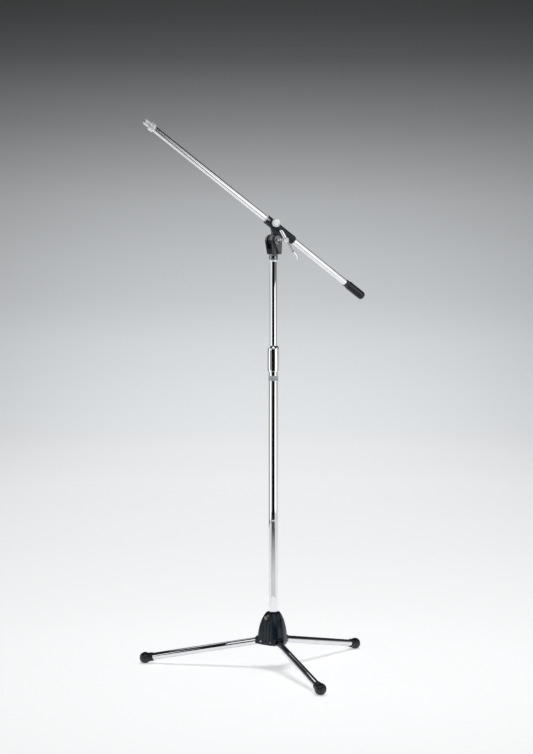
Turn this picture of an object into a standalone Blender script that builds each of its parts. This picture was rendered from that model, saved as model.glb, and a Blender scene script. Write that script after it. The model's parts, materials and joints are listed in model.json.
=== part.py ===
"""Boom microphone stand: folding tripod base, telescopic mast, clamped tilting boom.

The frame is +Z up with its origin under the lower tube's end plug, on the mast's axis. The boom lies in
the XZ plane with its microphone end toward -X, and the tilt handle and boom knob face -Y.
Heights in the constants are above the floor, and FLOOR_Z turns them into frame heights.
"""

import math

import bmesh
import bpy
from mathutils import Matrix, Vector

# Everything below is in metres, and angles are in degrees.
GAP = 0.0003
PLUG_HEIGHT = 0.062
FLOOR_Z = -PLUG_HEIGHT
ROUND = 28
SMALL_ROUND = 18
PIN_ROUND = 12
HUB_AROUND = 48
HUB_LEVELS = 7

# Mast
LOWER_R = 0.0120
LOWER_WALL = 0.0012
LOWER_TOP = 0.802
UPPER_R = 0.0095
UPPER_WALL = 0.0012
UPPER_BOTTOM = 0.350
UPPER_TOP = 1.0553
BAND_BOTTOM = 0.746
BAND_TOP = 0.759
CLUTCH_BOTTOM = 0.770
CLUTCH_SHOULDER = 0.8290
CLUTCH_TOP = 0.837
CLUTCH_R = 0.0150
COLLAR_SPAN = (0.7740, 0.8000)
COLLAR_R = 0.0136
COLLET_R = (0.0134, 0.0120)
COLLET_SLIT = 0.0020
FLANGE_R_TOP = 0.0116
FLANGE_TOP = 1.0605
LOCK_TOP = 1.0737
YOKE_BOTTOM = 1.0740
STUD_R = 0.0079
STUD_TOP = 1.0825
INSERT_BOTTOM = 1.0300

# Tripod base
HUB_BOTTOM = 0.064
HUB_TOP = 0.147
HUB_BORE_R = 0.0136
HUB_RIM_R = 0.0152
HUB_SPREAD = 0.0230
HUB_LOBE = 0.0040
HUB_POWER = 0.7
LEG_ANGLES = (19.5, 139.5, 259.5)
LEG_SLOPE = 10.4
LEG_R = 0.0095
LEG_WALL = 0.0011
LEG_PIVOT_R = 0.030
LEG_PIVOT_H = 0.072
LEG_TUBE_START = 0.0115
LEG_TUBE_END = 0.3240
SLOT_HALF = 0.0100
SLOT_INNER = 0.0199
PIN_R = 0.0025
PIN_HALF = 0.0205
BULB_R = 0.0150
BULB_AT = 0.318
FOOT_COLLAR_R = 0.0115
FOOT_START = 0.296
CLAMP_SCREW_ANGLE = 199.5
CLAMP_SCREW_H = 0.1335
CLAMP_SHANK_R = 0.0030
CLAMP_INSERT_R = 0.0050
CLAMP_INSERT_SPAN = (0.0142, 0.0200)
BUSH_BOTTOM = 0.1000

# Tilter
PIVOT_H = 1.111
CHEEK_R = 0.0150
YOKE_HALF_Y = 0.0210
YOKE_FOOT_HALF_Y = 0.0190
YOKE_FOOT_X = (-0.0105, 0.0145)
CLEVIS_HALF = 0.0093
CLEVIS_FLOOR = 1.088
BOLT_R = 0.0030
BOLT_TAIL = -0.0235
NUT_FLATS = 0.0100
NUT_SPAN = (-0.0205, -0.0158)
DISC_R = 0.0120
DISC_SPAN = (0.0077, 0.0090)
WASHER_R = 0.0098
WASHER_FOOT = 0.0213
BALL_Y = 0.067
BALL_R = 0.0065
BAR_LEAN = 34.0
BAR_R = 0.0020
CAP_R = 0.0045
CAP_LENGTH = 0.0240
BAR_TRAVEL = 0.028

# Boom, measured along its axis from the foot of the perpendicular from the pivot
BOOM_RISE = 34.35
BOOM_OFFSET = 0.033
BOOM_R = 0.0080
BOOM_WALL = 0.0010
BOOM_TUBE_SPAN = (-0.2900, 0.4422)
SLEEVE_HALF = 0.050
SLEEVE_R = 0.01175
SLEEVE_BORE_R = 0.0095
LINER_R = (0.0083, 0.0092)
KNOB_AT = 0.030
KNOB_R = 0.01075
KNOB_Y = (0.021, 0.029)
PAD_R = 0.0050
PAD_SPAN = (0.0096, 0.0121)
KNOB_SCREW_R = 0.0027
GRIP_SPAN = (-0.3118, -0.2438)
GRIP_R = 0.0112
FLANGE_SPAN = (0.4425, 0.4550)
FLANGE_R = 0.0117
STUD_END = 0.4731
STUD_BORE_R = 0.0046

COLOURS = {
    "chrome": ((0.82, 0.83, 0.85, 1.0), 0.12, 1.0),
    "steel": ((0.60, 0.61, 0.63, 1.0), 0.35, 1.0),
    "black_casting": ((0.030, 0.036, 0.040, 1.0), 0.42, 0.0),
    "black_plastic": ((0.022, 0.024, 0.026, 1.0), 0.50, 0.0),
    "rubber": ((0.018, 0.018, 0.019, 1.0), 0.80, 0.0),
    "pale_plastic": ((0.75, 0.76, 0.77, 1.0), 0.40, 0.0),
    "brass": ((0.72, 0.55, 0.25, 1.0), 0.30, 1.0),
}


def up(height):
    """A height above the floor as a height in the frame."""
    return height + FLOOR_Z


def clear_scene():
    for obj in list(bpy.data.objects):
        bpy.data.objects.remove(obj, do_unlink=True)


def finish_for(kind, node):
    """A node's own Principled material of one of the object's finishes."""
    colour, roughness, metallic = COLOURS[kind]
    material = bpy.data.materials.new(f"{node}_{kind}")
    material.use_nodes = True
    shader = material.node_tree.nodes["Principled BSDF"]
    shader.inputs["Base Color"].default_value = colour
    shader.inputs["Roughness"].default_value = roughness
    shader.inputs["Metallic"].default_value = metallic
    return material


def axes_frame(origin, x_axis, y_axis, z_axis):
    frame = Matrix((x_axis, y_axis, z_axis)).transposed().to_4x4()
    frame.translation = Vector(origin)
    return frame


def link(name, bm, frame, kind=None, helper=False):
    """Turns a bmesh into an object at a frame. A helper only shapes other objects."""
    bmesh.ops.recalc_face_normals(bm, faces=bm.faces)
    mesh = bpy.data.meshes.new(name)
    bm.to_mesh(mesh)
    bm.free()
    mesh.shade_smooth()
    mesh.set_sharp_from_angle(angle=math.radians(35))
    obj = bpy.data.objects.new(name, mesh)
    bpy.context.scene.collection.objects.link(obj)
    obj.matrix_basis = frame
    if helper:
        obj.hide_render = True
        obj.display_type = "WIRE"
    else:
        mesh.materials.append(finish_for(kind, name))
    return obj


def turned(profile, segments):
    """A solid of revolution about local Z. The (radius, z) points run round a closed section."""
    bm = bmesh.new()
    points = [bm.verts.new((radius, 0.0, z)) for radius, z in profile]
    on_axis = profile[0][0] == 0.0 and profile[-1][0] == 0.0
    pairs = zip(points, points[1:]) if on_axis else zip(points, points[1:] + points[:1])
    edges = [bm.edges.new(pair) for pair in pairs]
    bmesh.ops.spin(
        bm,
        geom=points + edges,
        cent=(0.0, 0.0, 0.0),
        axis=(0.0, 0.0, 1.0),
        angle=math.tau,
        steps=segments,
        use_merge=True,
    )
    bmesh.ops.remove_doubles(bm, verts=bm.verts, dist=1e-6)
    return bm


def arc(centre, radius, start, end, steps):
    """(radius, z) points round a circle in the turned section, with 0 degrees along +z."""
    found = []
    for step in range(steps + 1):
        angle = math.radians(start + (end - start) * step / steps)
        found.append((centre[0] + radius * math.sin(angle), centre[1] + radius * math.cos(angle)))
    return found


def ring_section(inner, outer, low, high):
    return [(inner, low), (outer, low), (outer, high), (inner, high)]


def rod_section(radius, low, high, bevel=0.0):
    if bevel:
        return [(0.0, low), (radius - bevel, low), (radius, low + bevel), (radius, high - bevel),
                (radius - bevel, high), (0.0, high)]
    return [(0.0, low), (radius, low), (radius, high), (0.0, high)]


def extruded(outline, low, high):
    """A prism over a local XY outline, from z low to z high."""
    bm = bmesh.new()
    base = bm.faces.new([bm.verts.new((x, y, low)) for x, y in outline])
    grown = bmesh.ops.extrude_face_region(bm, geom=[base])["geom"]
    top = [item for item in grown if isinstance(item, bmesh.types.BMVert)]
    bmesh.ops.translate(bm, verts=top, vec=(0.0, 0.0, high - low))
    return bm


def boolean(obj, other, operation):
    modifier = obj.modifiers.new(f"{operation.lower()}_{other.name}", "BOOLEAN")
    modifier.operation = operation
    modifier.object = other
    modifier.solver = "EXACT"


def cut(obj, name, bm, frame):
    boolean(obj, link(name, bm, frame, helper=True), "DIFFERENCE")


def join(obj, name, bm, frame):
    boolean(obj, link(name, bm, frame, helper=True), "UNION")


def joint_empty(name, origin):
    """A moving body's parent, on its joint's axis."""
    empty = bpy.data.objects.new(name, None)
    bpy.context.scene.collection.objects.link(empty)
    empty.location = origin
    return empty


def carry(empty, objects):
    """Parents objects to an empty and keeps them where they are."""
    for obj in objects:
        obj.parent = empty
        obj.matrix_parent_inverse = Matrix.Translation(-empty.location)


def hexagon(across_flats):
    radius = across_flats / 2 / math.cos(math.radians(30))
    return [
        (radius * math.cos(math.radians(60 * k)), radius * math.sin(math.radians(60 * k)))
        for k in range(6)
    ]


WORLD = Matrix.Identity(4)
PIVOT = Vector((0.0, 0.0, up(PIVOT_H)))
RISE = math.radians(BOOM_RISE)
BOOM_AXIS = Vector((-math.cos(RISE), 0.0, math.sin(RISE)))
BOOM_NORMAL = Vector((math.sin(RISE), 0.0, math.cos(RISE)))
BOOM_FOOT = PIVOT + BOOM_OFFSET * BOOM_NORMAL
BOOM_FRAME = axes_frame(BOOM_FOOT, BOOM_NORMAL, (0.0, 1.0, 0.0), BOOM_AXIS)
HANDLE_FRAME = axes_frame(PIVOT, (1.0, 0.0, 0.0), (0.0, 0.0, 1.0), (0.0, -1.0, 0.0))
KNOB_ORIGIN = BOOM_FOOT + KNOB_AT * BOOM_AXIS
KNOB_FRAME = axes_frame(KNOB_ORIGIN, (1.0, 0.0, 0.0), (0.0, 0.0, 1.0), (0.0, -1.0, 0.0))


def hub_radius(angle, height):
    """The hub's bell shape, with a lobe over each leg."""
    fall = max(0.0, (HUB_TOP - height) / (HUB_TOP - HUB_BOTTOM))
    lobe = math.cos(math.radians(3 * (angle - LEG_ANGLES[0])))
    return HUB_RIM_R + (HUB_SPREAD + HUB_LOBE * lobe) * math.sin(math.pi / 2 * fall**HUB_POWER)


def hub_shell():
    bm = bmesh.new()
    steps, around = HUB_LEVELS, HUB_AROUND
    rings = []
    for level in range(steps + 1):
        height = HUB_TOP - (HUB_TOP - HUB_BOTTOM) * (level / steps) ** 1.4
        ring = []
        for k in range(around):
            angle = 360 * k / around
            radius = hub_radius(angle, height)
            x = radius * math.cos(math.radians(angle))
            y = radius * math.sin(math.radians(angle))
            ring.append(bm.verts.new((x, y, up(height))))
        rings.append(ring)
    for upper, lower in zip(rings, rings[1:]):
        for k in range(around):
            after = (k + 1) % around
            bm.faces.new((upper[k], lower[k], lower[after], upper[after]))
    bm.faces.new(rings[0])
    bm.faces.new(rings[-1][::-1])
    return bm


def leg_frame(angle):
    """Origin on the leg's pivot, local Z out along the leg, local Y along the hinge pin."""
    turn, slope = math.radians(angle), math.radians(LEG_SLOPE)
    out = Vector((math.cos(turn), math.sin(turn), 0.0))
    pin = Vector((-math.sin(turn), math.cos(turn), 0.0))
    along = math.cos(slope) * out - math.sin(slope) * Vector((0.0, 0.0, 1.0))
    origin = LEG_PIVOT_R * out + Vector((0.0, 0.0, up(LEG_PIVOT_H)))
    return axes_frame(origin, pin.cross(along), pin, along)


def side_frame(angle, height):
    """Local Z along the hinge pin's direction, local X outward and local Y up."""
    turn = math.radians(angle)
    out = Vector((math.cos(turn), math.sin(turn), 0.0))
    upward = Vector((0.0, 0.0, 1.0))
    return axes_frame((0.0, 0.0, up(height)), out, upward, out.cross(upward))


def leg_slot_outline():
    """The leg's pocket seen along its pin: its roof is the stop that a spread leg bears on."""
    slope = math.tan(math.radians(LEG_SLOPE))
    reach = 0.060
    floor = HUB_BOTTOM - 0.010

    def roof(out):
        lift = (LEG_R + GAP) / math.cos(math.radians(LEG_SLOPE))
        return LEG_PIVOT_H + lift - (out - LEG_PIVOT_R) * slope

    return [
        (SLOT_INNER, floor),
        (reach, floor),
        (reach, roof(reach)),
        (SLOT_INNER, roof(SLOT_INNER)),
    ]


def make_hub():
    """The bell casting: a lip over each leg, its pocket and pin hole, the bore and the lightening cores."""
    lip_out, lip_in, lip_half, lip_thick = 0.0465, 0.030, 0.0128, 0.0030
    core_r, core_at, core_top = 0.0055, 0.0235, 0.112
    slope = math.tan(math.radians(LEG_SLOPE))
    lift = LEG_PIVOT_H + LEG_R + lip_thick
    hub = link("base_hub", hub_shell(), WORLD, "black_casting")
    for number, angle in enumerate(LEG_ANGLES, 1):
        side = side_frame(angle, 0.0)
        lip = [
            (lip_in, HUB_BOTTOM + 0.0002),
            (lip_out, HUB_BOTTOM + 0.0002),
            (lip_out, lift - (lip_out - LEG_PIVOT_R) * slope),
            (lip_in, lift - (lip_in - LEG_PIVOT_R) * slope),
        ]
        join(hub, f"lip_{number}", extruded(lip, -lip_half, lip_half), side)
    for number, angle in enumerate(LEG_ANGLES, 1):
        side = side_frame(angle, 0.0)
        slot = extruded(leg_slot_outline(), -SLOT_HALF, SLOT_HALF)
        cut(hub, f"slot_{number}", slot, side)
        pin = turned(rod_section(PIN_R + GAP, -PIN_HALF - GAP, PIN_HALF + 0.020), PIN_ROUND)
        cut(hub, f"pin_hole_{number}", pin, pin_frame(angle))
        across = math.radians(angle + 60)
        core = turned(rod_section(core_r, up(HUB_BOTTOM) - 0.010, up(core_top)), PIN_ROUND)
        place = Matrix.Translation((core_at * math.cos(across), core_at * math.sin(across), 0.0))
        cut(hub, f"core_{number}", core, place)
    bore = turned(rod_section(HUB_BORE_R, up(HUB_BOTTOM) - 0.010, up(HUB_TOP) + 0.010), ROUND)
    cut(hub, "hub_bore", bore, WORLD)
    screw_hole = rod_section(CLAMP_INSERT_R + GAP, 0.010, 0.060)
    cut(hub, "screw_hole", turned(screw_hole, SMALL_ROUND), screw_frame())
    return hub


def pin_frame(angle):
    """Local Z along a leg's pin, with its origin on the leg's pivot."""
    leg = leg_frame(angle)
    pin = leg.col[1].to_3d()
    out = Vector((math.cos(math.radians(angle)), math.sin(math.radians(angle)), 0.0))
    return axes_frame(leg.translation, out, pin.cross(out), pin)


def screw_frame():
    """The base clamp screw's axis: local Z runs out of the hub."""
    turn = math.radians(CLAMP_SCREW_ANGLE)
    out = Vector((math.cos(turn), math.sin(turn), 0.0))
    side = Vector((-math.sin(turn), math.cos(turn), 0.0))
    return axes_frame((0.0, 0.0, up(CLAMP_SCREW_H)), side, out.cross(side), out)


def make_base():
    hub = make_hub()
    bush = ring_section(LOWER_R + GAP, HUB_BORE_R - GAP, up(BUSH_BOTTOM), up(HUB_TOP) - GAP)
    link("hub_bush", turned(bush, ROUND), WORLD, "black_plastic")
    insert = ring_section(CLAMP_SHANK_R + GAP, CLAMP_INSERT_R, *CLAMP_INSERT_SPAN)
    link("clamp_insert", turned(insert, SMALL_ROUND), screw_frame(), "brass")
    for number, angle in enumerate(LEG_ANGLES, 1):
        section = rod_section(PIN_R, -PIN_HALF, PIN_HALF, 0.0004)
        link(f"leg_pin_{number}", turned(section, PIN_ROUND), pin_frame(angle), "steel")
    return hub


def make_clamp_screw():
    """The thumb screw that holds the hub on the lower tube."""
    tip, neck, end, head_r, bevel = 0.0138, 0.0252, 0.0312, 0.0052, 0.0004
    section = [
        (0.0, tip),
        (CLAMP_SHANK_R - bevel, tip),
        (CLAMP_SHANK_R, tip + bevel),
        (CLAMP_SHANK_R, neck),
        (head_r - bevel, neck),
        (head_r, neck + bevel),
        (head_r, end - bevel),
        (head_r - bevel, end),
        (0.0, end),
    ]
    screw = link("base_clamp_screw", turned(section, SMALL_ROUND), screw_frame(), "chrome")
    empty = joint_empty("base_clamp_turn", screw_frame().translation)
    carry(empty, [screw])


def foot_section():
    """The rubber foot: a domed bulb, a collar and the socket for the leg tube."""
    meet = 180 - math.degrees(math.asin(FOOT_COLLAR_R / BULB_R))
    socket = LEG_R + GAP
    points = arc((0.0, BULB_AT), BULB_R, 0.0, meet, 8)
    points[0] = (0.0, points[0][1])
    points += [
        (FOOT_COLLAR_R, FOOT_START + 0.001),
        (FOOT_COLLAR_R - 0.0008, FOOT_START),
        (socket, FOOT_START),
        (socket, LEG_TUBE_END + GAP),
        (0.0, LEG_TUBE_END + GAP),
    ]
    return points


def knuckle(frame, name):
    """The plug in the leg's inner end, with the eye that turns on the pin."""
    eye_r, eye_half, spigot_end = LEG_R - 0.0004, 0.0092, 0.045
    spigot_r = LEG_R - LEG_WALL - GAP
    plug = link(name, turned(rod_section(spigot_r, 0.002, spigot_end, 0.0006), SMALL_ROUND), frame,
                "black_plastic")
    pin_axis = axes_frame(frame.translation, frame.col[0].to_3d(), -frame.col[2].to_3d(),
                          frame.col[1].to_3d())
    join(plug, f"{name}_eye", turned(rod_section(eye_r, -eye_half, eye_half), ROUND), pin_axis)
    cut(plug, f"{name}_hole", turned(rod_section(PIN_R + GAP, -0.02, 0.02), PIN_ROUND), pin_axis)
    return plug


def flatten_foot(bm, frame):
    """Cuts the bulb off level with the floor, which leaves the flat that it stands on."""
    inverse = frame.inverted()
    point = inverse @ Vector((frame.translation.x, frame.translation.y, FLOOR_Z))
    normal = inverse.to_3x3() @ Vector((0.0, 0.0, -1.0))
    geometry = bm.verts[:] + bm.edges[:] + bm.faces[:]
    sliced = bmesh.ops.bisect_plane(bm, geom=geometry, plane_co=point, plane_no=normal, clear_outer=True)
    rim = [item for item in sliced["geom_cut"] if isinstance(item, bmesh.types.BMEdge)]
    bmesh.ops.edgeloop_fill(bm, edges=rim)


def make_leg(number, angle):
    """A leg, spread. It folds down about its pin until it stands along the mast."""
    frame = leg_frame(angle)
    hook = LEG_TUBE_START
    tube = turned(ring_section(LEG_R - LEG_WALL, LEG_R, hook, LEG_TUBE_END), ROUND)
    pieces = [link(f"leg_tube_{number}", tube, frame, "chrome")]
    pieces.append(knuckle(frame, f"leg_knuckle_{number}"))
    foot = turned(foot_section(), ROUND)
    flatten_foot(foot, frame)
    pieces.append(link(f"foot_{number}", foot, frame, "rubber"))
    carry(joint_empty(f"leg_{number}_fold", frame.translation), pieces)


def make_lower_mast():
    flange, depth, skin = 0.0015, 0.0180, 0.0020
    tube = ring_section(LOWER_R - LOWER_WALL, LOWER_R, flange + GAP, up(LOWER_TOP))
    plug_r = LOWER_R - LOWER_WALL - GAP
    plug = [(0.0, 0.0), (LOWER_R, 0.0), (LOWER_R, flange), (plug_r, flange), (plug_r, depth),
            (plug_r - skin, depth), (plug_r - skin, 2 * flange), (0.0, 2 * flange)]
    band = ring_section(LOWER_R + GAP, LOWER_R + 0.0005, up(BAND_BOTTOM), up(BAND_TOP))
    collar = ring_section(LOWER_R + GAP, COLLAR_R, *map(up, COLLAR_SPAN))
    pieces = [
        link("lower_tube", turned(tube, ROUND), WORLD, "chrome"),
        link("tube_end_plug", turned(plug, ROUND), WORLD, "black_plastic"),
        link("plain_band", turned(band, ROUND), WORLD, "steel"),
        link("clutch_collar", turned(collar, ROUND), WORLD, "steel"),
    ]
    pieces.append(make_collet())
    carry(joint_empty("base_slide", (0.0, 0.0, 0.0)), pieces)


def slit_outline(width):
    """A slit on one side of a ring, across local X."""
    reach, half = 0.020, width / 2
    return [(0.0, -half), (reach, -half), (reach, half), (0.0, half)]


def make_collet():
    """The split ring that the clutch squeezes on the upper tube."""
    low, high = up(LOWER_TOP) + GAP, up(CLUTCH_SHOULDER) - 0.0012
    wide, narrow = COLLET_R
    bore = UPPER_R + GAP
    section = [(bore, low), (wide, low), (wide, low + 0.012), (narrow, high), (bore, high)]
    collet = link("clutch_collet", turned(section, ROUND), WORLD, "black_plastic")
    slit = extruded(slit_outline(COLLET_SLIT), low - 0.01, high + 0.01)
    cut(collet, "collet_slit", slit, WORLD)
    return collet


def make_clutch():
    """The grip sleeve, a slim barrel, and the conical cap that turns with it."""
    bottom, shoulder, top = up(CLUTCH_BOTTOM), up(CLUTCH_SHOULDER), up(CLUTCH_TOP)
    wide = 0.0139
    sleeve = [
        (LOWER_R + 0.0004, bottom),
        (CLUTCH_R - 0.0012, bottom),
        (CLUTCH_R - 0.0004, bottom + 0.0012),
        (CLUTCH_R, bottom + 0.018),
        (CLUTCH_R, shoulder - 0.018),
        (CLUTCH_R - 0.0003, shoulder),
        (0.0125, shoulder),
        (wide, shoulder - 0.013),
        (wide, bottom + 0.003),
        (LOWER_R + 0.0004, bottom + 0.003),
    ]
    cap = [
        (UPPER_R + 0.0004, shoulder + GAP),
        (CLUTCH_R - 0.0003, shoulder + GAP),
        (CLUTCH_R - 0.0005, shoulder + 0.0016),
        (UPPER_R + 0.0016, top - 0.0006),
        (UPPER_R + 0.0008, top),
        (UPPER_R + 0.0004, top),
    ]
    pieces = [
        link("clutch_sleeve", turned(sleeve, ROUND), WORLD, "chrome"),
        link("clutch_cap", turned(cap, ROUND), WORLD, "chrome"),
    ]
    carry(joint_empty("clutch_turn", (0.0, 0.0, bottom)), pieces)


def make_guide():
    """The plastic guide in the lower tube that carries the upper tube's bottom end."""
    low, tube_end = up(UPPER_BOTTOM) - 0.0040, up(UPPER_BOTTOM) - GAP
    outer = LOWER_R - LOWER_WALL - GAP
    section = [(0.0050, low), (outer, low), (outer, low + 0.030), (UPPER_R + GAP, low + 0.030),
               (UPPER_R + GAP, tube_end), (0.0050, tube_end)]
    guide = link("guide_bush", turned(section, ROUND), WORLD, "black_plastic")
    carry(joint_empty("mast_raise", (0.0, 0.0, low)), [guide])


def yoke_outline():
    """The tilter seen along the hinge: a round head over sides that taper to the foot."""
    foot, corner = YOKE_BOTTOM - PIVOT_H, 0.0030
    left, right = YOKE_FOOT_X
    points = [(right - corner, foot), (right, foot + corner)]
    steps = 16
    for step in range(steps + 1):
        angle = math.radians(-6 + 192 * step / steps)
        points.append((CHEEK_R * math.cos(angle), CHEEK_R * math.sin(angle)))
    return points + [(left, foot + corner), (left + corner, foot)]


def make_yoke():
    solid = extruded(yoke_outline(), -YOKE_HALF_Y, YOKE_HALF_Y)
    span = CHEEK_R - (YOKE_BOTTOM - PIVOT_H)
    for vert in solid.verts:
        low = min(1.0, max(0.0, (CHEEK_R - vert.co.y) / span))
        vert.co.z *= 1 - low * low * (1 - YOKE_FOOT_HALF_Y / YOKE_HALF_Y)
    yoke = link("tilter_yoke", solid, HANDLE_FRAME, "black_casting")
    bevel = yoke.modifiers.new("soft_edges", "BEVEL")
    bevel.width = 0.0014
    bevel.segments = 2
    bevel.limit_method = "ANGLE"
    bevel.angle_limit = math.radians(50)
    floor = CLEVIS_FLOOR - PIVOT_H
    reach = 0.030
    gap = [(-reach, floor), (reach, floor), (reach, reach), (-reach, reach)]
    cut(yoke, "clevis_gap", extruded(gap, -CLEVIS_HALF, CLEVIS_HALF), HANDLE_FRAME)
    cut(yoke, "yoke_bolt_hole", turned(rod_section(BOLT_R + GAP, -0.03, 0.03), SMALL_ROUND), HANDLE_FRAME)
    pocket = extruded(hexagon(NUT_FLATS + 2 * GAP), -0.030, NUT_SPAN[1] + GAP)
    cut(yoke, "nut_pocket", pocket, HANDLE_FRAME)
    socket = turned(rod_section(STUD_R + GAP, up(YOKE_BOTTOM) - 0.01, up(STUD_TOP) + 0.0007), ROUND)
    cut(yoke, "stud_socket", socket, WORLD)
    return yoke


def make_upper_mast():
    tube = ring_section(UPPER_R - UPPER_WALL, UPPER_R, up(UPPER_BOTTOM), up(UPPER_TOP))
    plug_r = UPPER_R - UPPER_WALL - GAP
    flange_low, flange_high = up(UPPER_TOP) + GAP, up(FLANGE_TOP)
    bevel = 0.0006
    insert = [
        (0.0, up(INSERT_BOTTOM)),
        (plug_r, up(INSERT_BOTTOM)),
        (plug_r, flange_low),
        (FLANGE_R_TOP - bevel, flange_low),
        (FLANGE_R_TOP, flange_low + bevel),
        (FLANGE_R_TOP, flange_high - bevel),
        (FLANGE_R_TOP - bevel, flange_high),
        (STUD_R, flange_high),
        (STUD_R, up(STUD_TOP) - 0.001),
        (STUD_R - 0.001, up(STUD_TOP)),
        (0.0, up(STUD_TOP)),
    ]
    lock = [
        (STUD_R + GAP, flange_high + GAP),
        (FLANGE_R_TOP - bevel, flange_high + GAP),
        (FLANGE_R_TOP + 0.0002, flange_high + GAP + bevel),
        (FLANGE_R_TOP, up(LOCK_TOP)),
        (STUD_R + GAP, up(LOCK_TOP)),
    ]
    pieces = [
        link("upper_tube", turned(tube, ROUND), WORLD, "chrome"),
        link("top_insert", turned(insert, ROUND), WORLD, "chrome"),
        link("lock_collar", turned(lock, SMALL_ROUND), WORLD, "black_casting"),
        make_yoke(),
    ]
    disc = ring_section(BOLT_R + GAP, DISC_R, *DISC_SPAN)
    for side, sign in (("front", 1), ("rear", -1)):
        section = [(radius, sign * z) for radius, z in disc]
        pieces.append(link(f"friction_disc_{side}", turned(section, ROUND), HANDLE_FRAME, "rubber"))
    sheet, edge, seat_r = 0.0015, 0.0004, 0.0058
    bore, dish = BOLT_R + GAP, WASHER_FOOT + sheet
    washer = [
        (bore, WASHER_FOOT),
        (seat_r, WASHER_FOOT),
        (WASHER_R - edge, dish),
        (WASHER_R, dish + 1.5 * edge),
        (WASHER_R - edge, dish + 3 * edge),
        (seat_r, dish),
        (bore, dish),
    ]
    pieces.append(link("handle_washer", turned(washer, ROUND), HANDLE_FRAME, "chrome"))
    nut = link("tilt_nut", extruded(hexagon(NUT_FLATS), *NUT_SPAN), HANDLE_FRAME, "steel")
    cut(nut, "nut_hole", turned(rod_section(BOLT_R + GAP, -0.03, 0.0), SMALL_ROUND), HANDLE_FRAME)
    pieces.append(nut)
    carry(joint_empty("mast_swivel", (0.0, 0.0, up(UPPER_BOTTOM))), pieces)


def bar_frame():
    """The sliding bar's axis: local Z runs up it, and its origin is in the ball."""
    lean = math.radians(BAR_LEAN)
    along = Vector((-math.sin(lean), 0.0, math.cos(lean)))
    across = Vector((0.0, 1.0, 0.0))
    origin = PIVOT + Vector((0.0, -BALL_Y, 0.0))
    return axes_frame(origin, across.cross(along), across, along)


def make_handle():
    """The bolt with its ball head, and the bar that slides in the ball."""
    neck, collar, bevel = BOLT_R - GAP, 0.0250, 0.0005
    ball = arc((0.0, BALL_Y), BALL_R, 180 - math.degrees(math.asin(neck / BALL_R)), 0.0, 12)
    ball[-1] = (0.0, ball[-1][1])
    section = [(0.0, BOLT_TAIL), (BOLT_R - bevel, BOLT_TAIL), (BOLT_R, BOLT_TAIL + bevel), (BOLT_R, collar),
               (neck, collar + bevel)] + ball
    bolt = link("tilt_bolt", turned(section, SMALL_ROUND), HANDLE_FRAME, "chrome")
    cut(bolt, "bar_hole", turned(rod_section(BAR_R + GAP, -0.012, 0.012), PIN_ROUND), bar_frame())
    carry(joint_empty("tilt_handle_turn", PIVOT), [bolt])
    frame = bar_frame()
    near = BALL_R + GAP
    far = near + BAR_TRAVEL + GAP
    seat = 0.016
    bar = rod_section(BAR_R, -far - seat, near + seat, 0.0003)
    pieces = [link("slide_bar", turned(bar, PIN_ROUND), frame, "chrome")]
    bore = BAR_R + GAP
    for name, start, sign in (("bar_cap_upper", near, 1), ("bar_cap_lower", far, -1)):
        end = start + CAP_LENGTH
        section = [
            (0.0, end),
            (CAP_R - 0.0026, end),
            (CAP_R - 0.0009, end - 0.0006),
            (CAP_R, end - 0.0022),
            (CAP_R, start + 0.0010),
            (CAP_R - 0.0008, start),
            (bore, start),
            (bore, start + seat + GAP),
            (0.0, start + seat + GAP),
        ]
        section = [(radius, sign * z) for radius, z in section]
        pieces.append(link(name, turned(section, SMALL_ROUND), frame, "chrome"))
    carry(joint_empty("bar_slide", frame.translation), pieces)


def lug_outline():
    """The clamp's lug seen along the hinge: an eye on the pivot and a neck that flares to the sleeve."""
    eye, steps = 0.0130, 14
    points = []
    for step in range(steps + 1):
        angle = math.radians(90 + 180 * step / steps)
        points.append((-BOOM_OFFSET + eye * math.cos(angle), eye * math.sin(angle)))
    flare = 0.0215
    return points + [(-0.0210, -0.0130), (-0.0140, -flare), (-0.0060, -flare), (-0.0060, flare),
                     (-0.0140, flare), (-0.0210, 0.0130)]


def lug_solid():
    """The lug's outline lies in the boom frame's XZ plane, across the hinge's direction."""
    half = 0.0074
    bm = bmesh.new()
    base = bm.faces.new([bm.verts.new((x, -half, z)) for x, z in lug_outline()])
    grown = bmesh.ops.extrude_face_region(bm, geom=[base])["geom"]
    top = [item for item in grown if isinstance(item, bmesh.types.BMVert)]
    bmesh.ops.translate(bm, verts=top, vec=(0.0, 2 * half, 0.0))
    return bm


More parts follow.
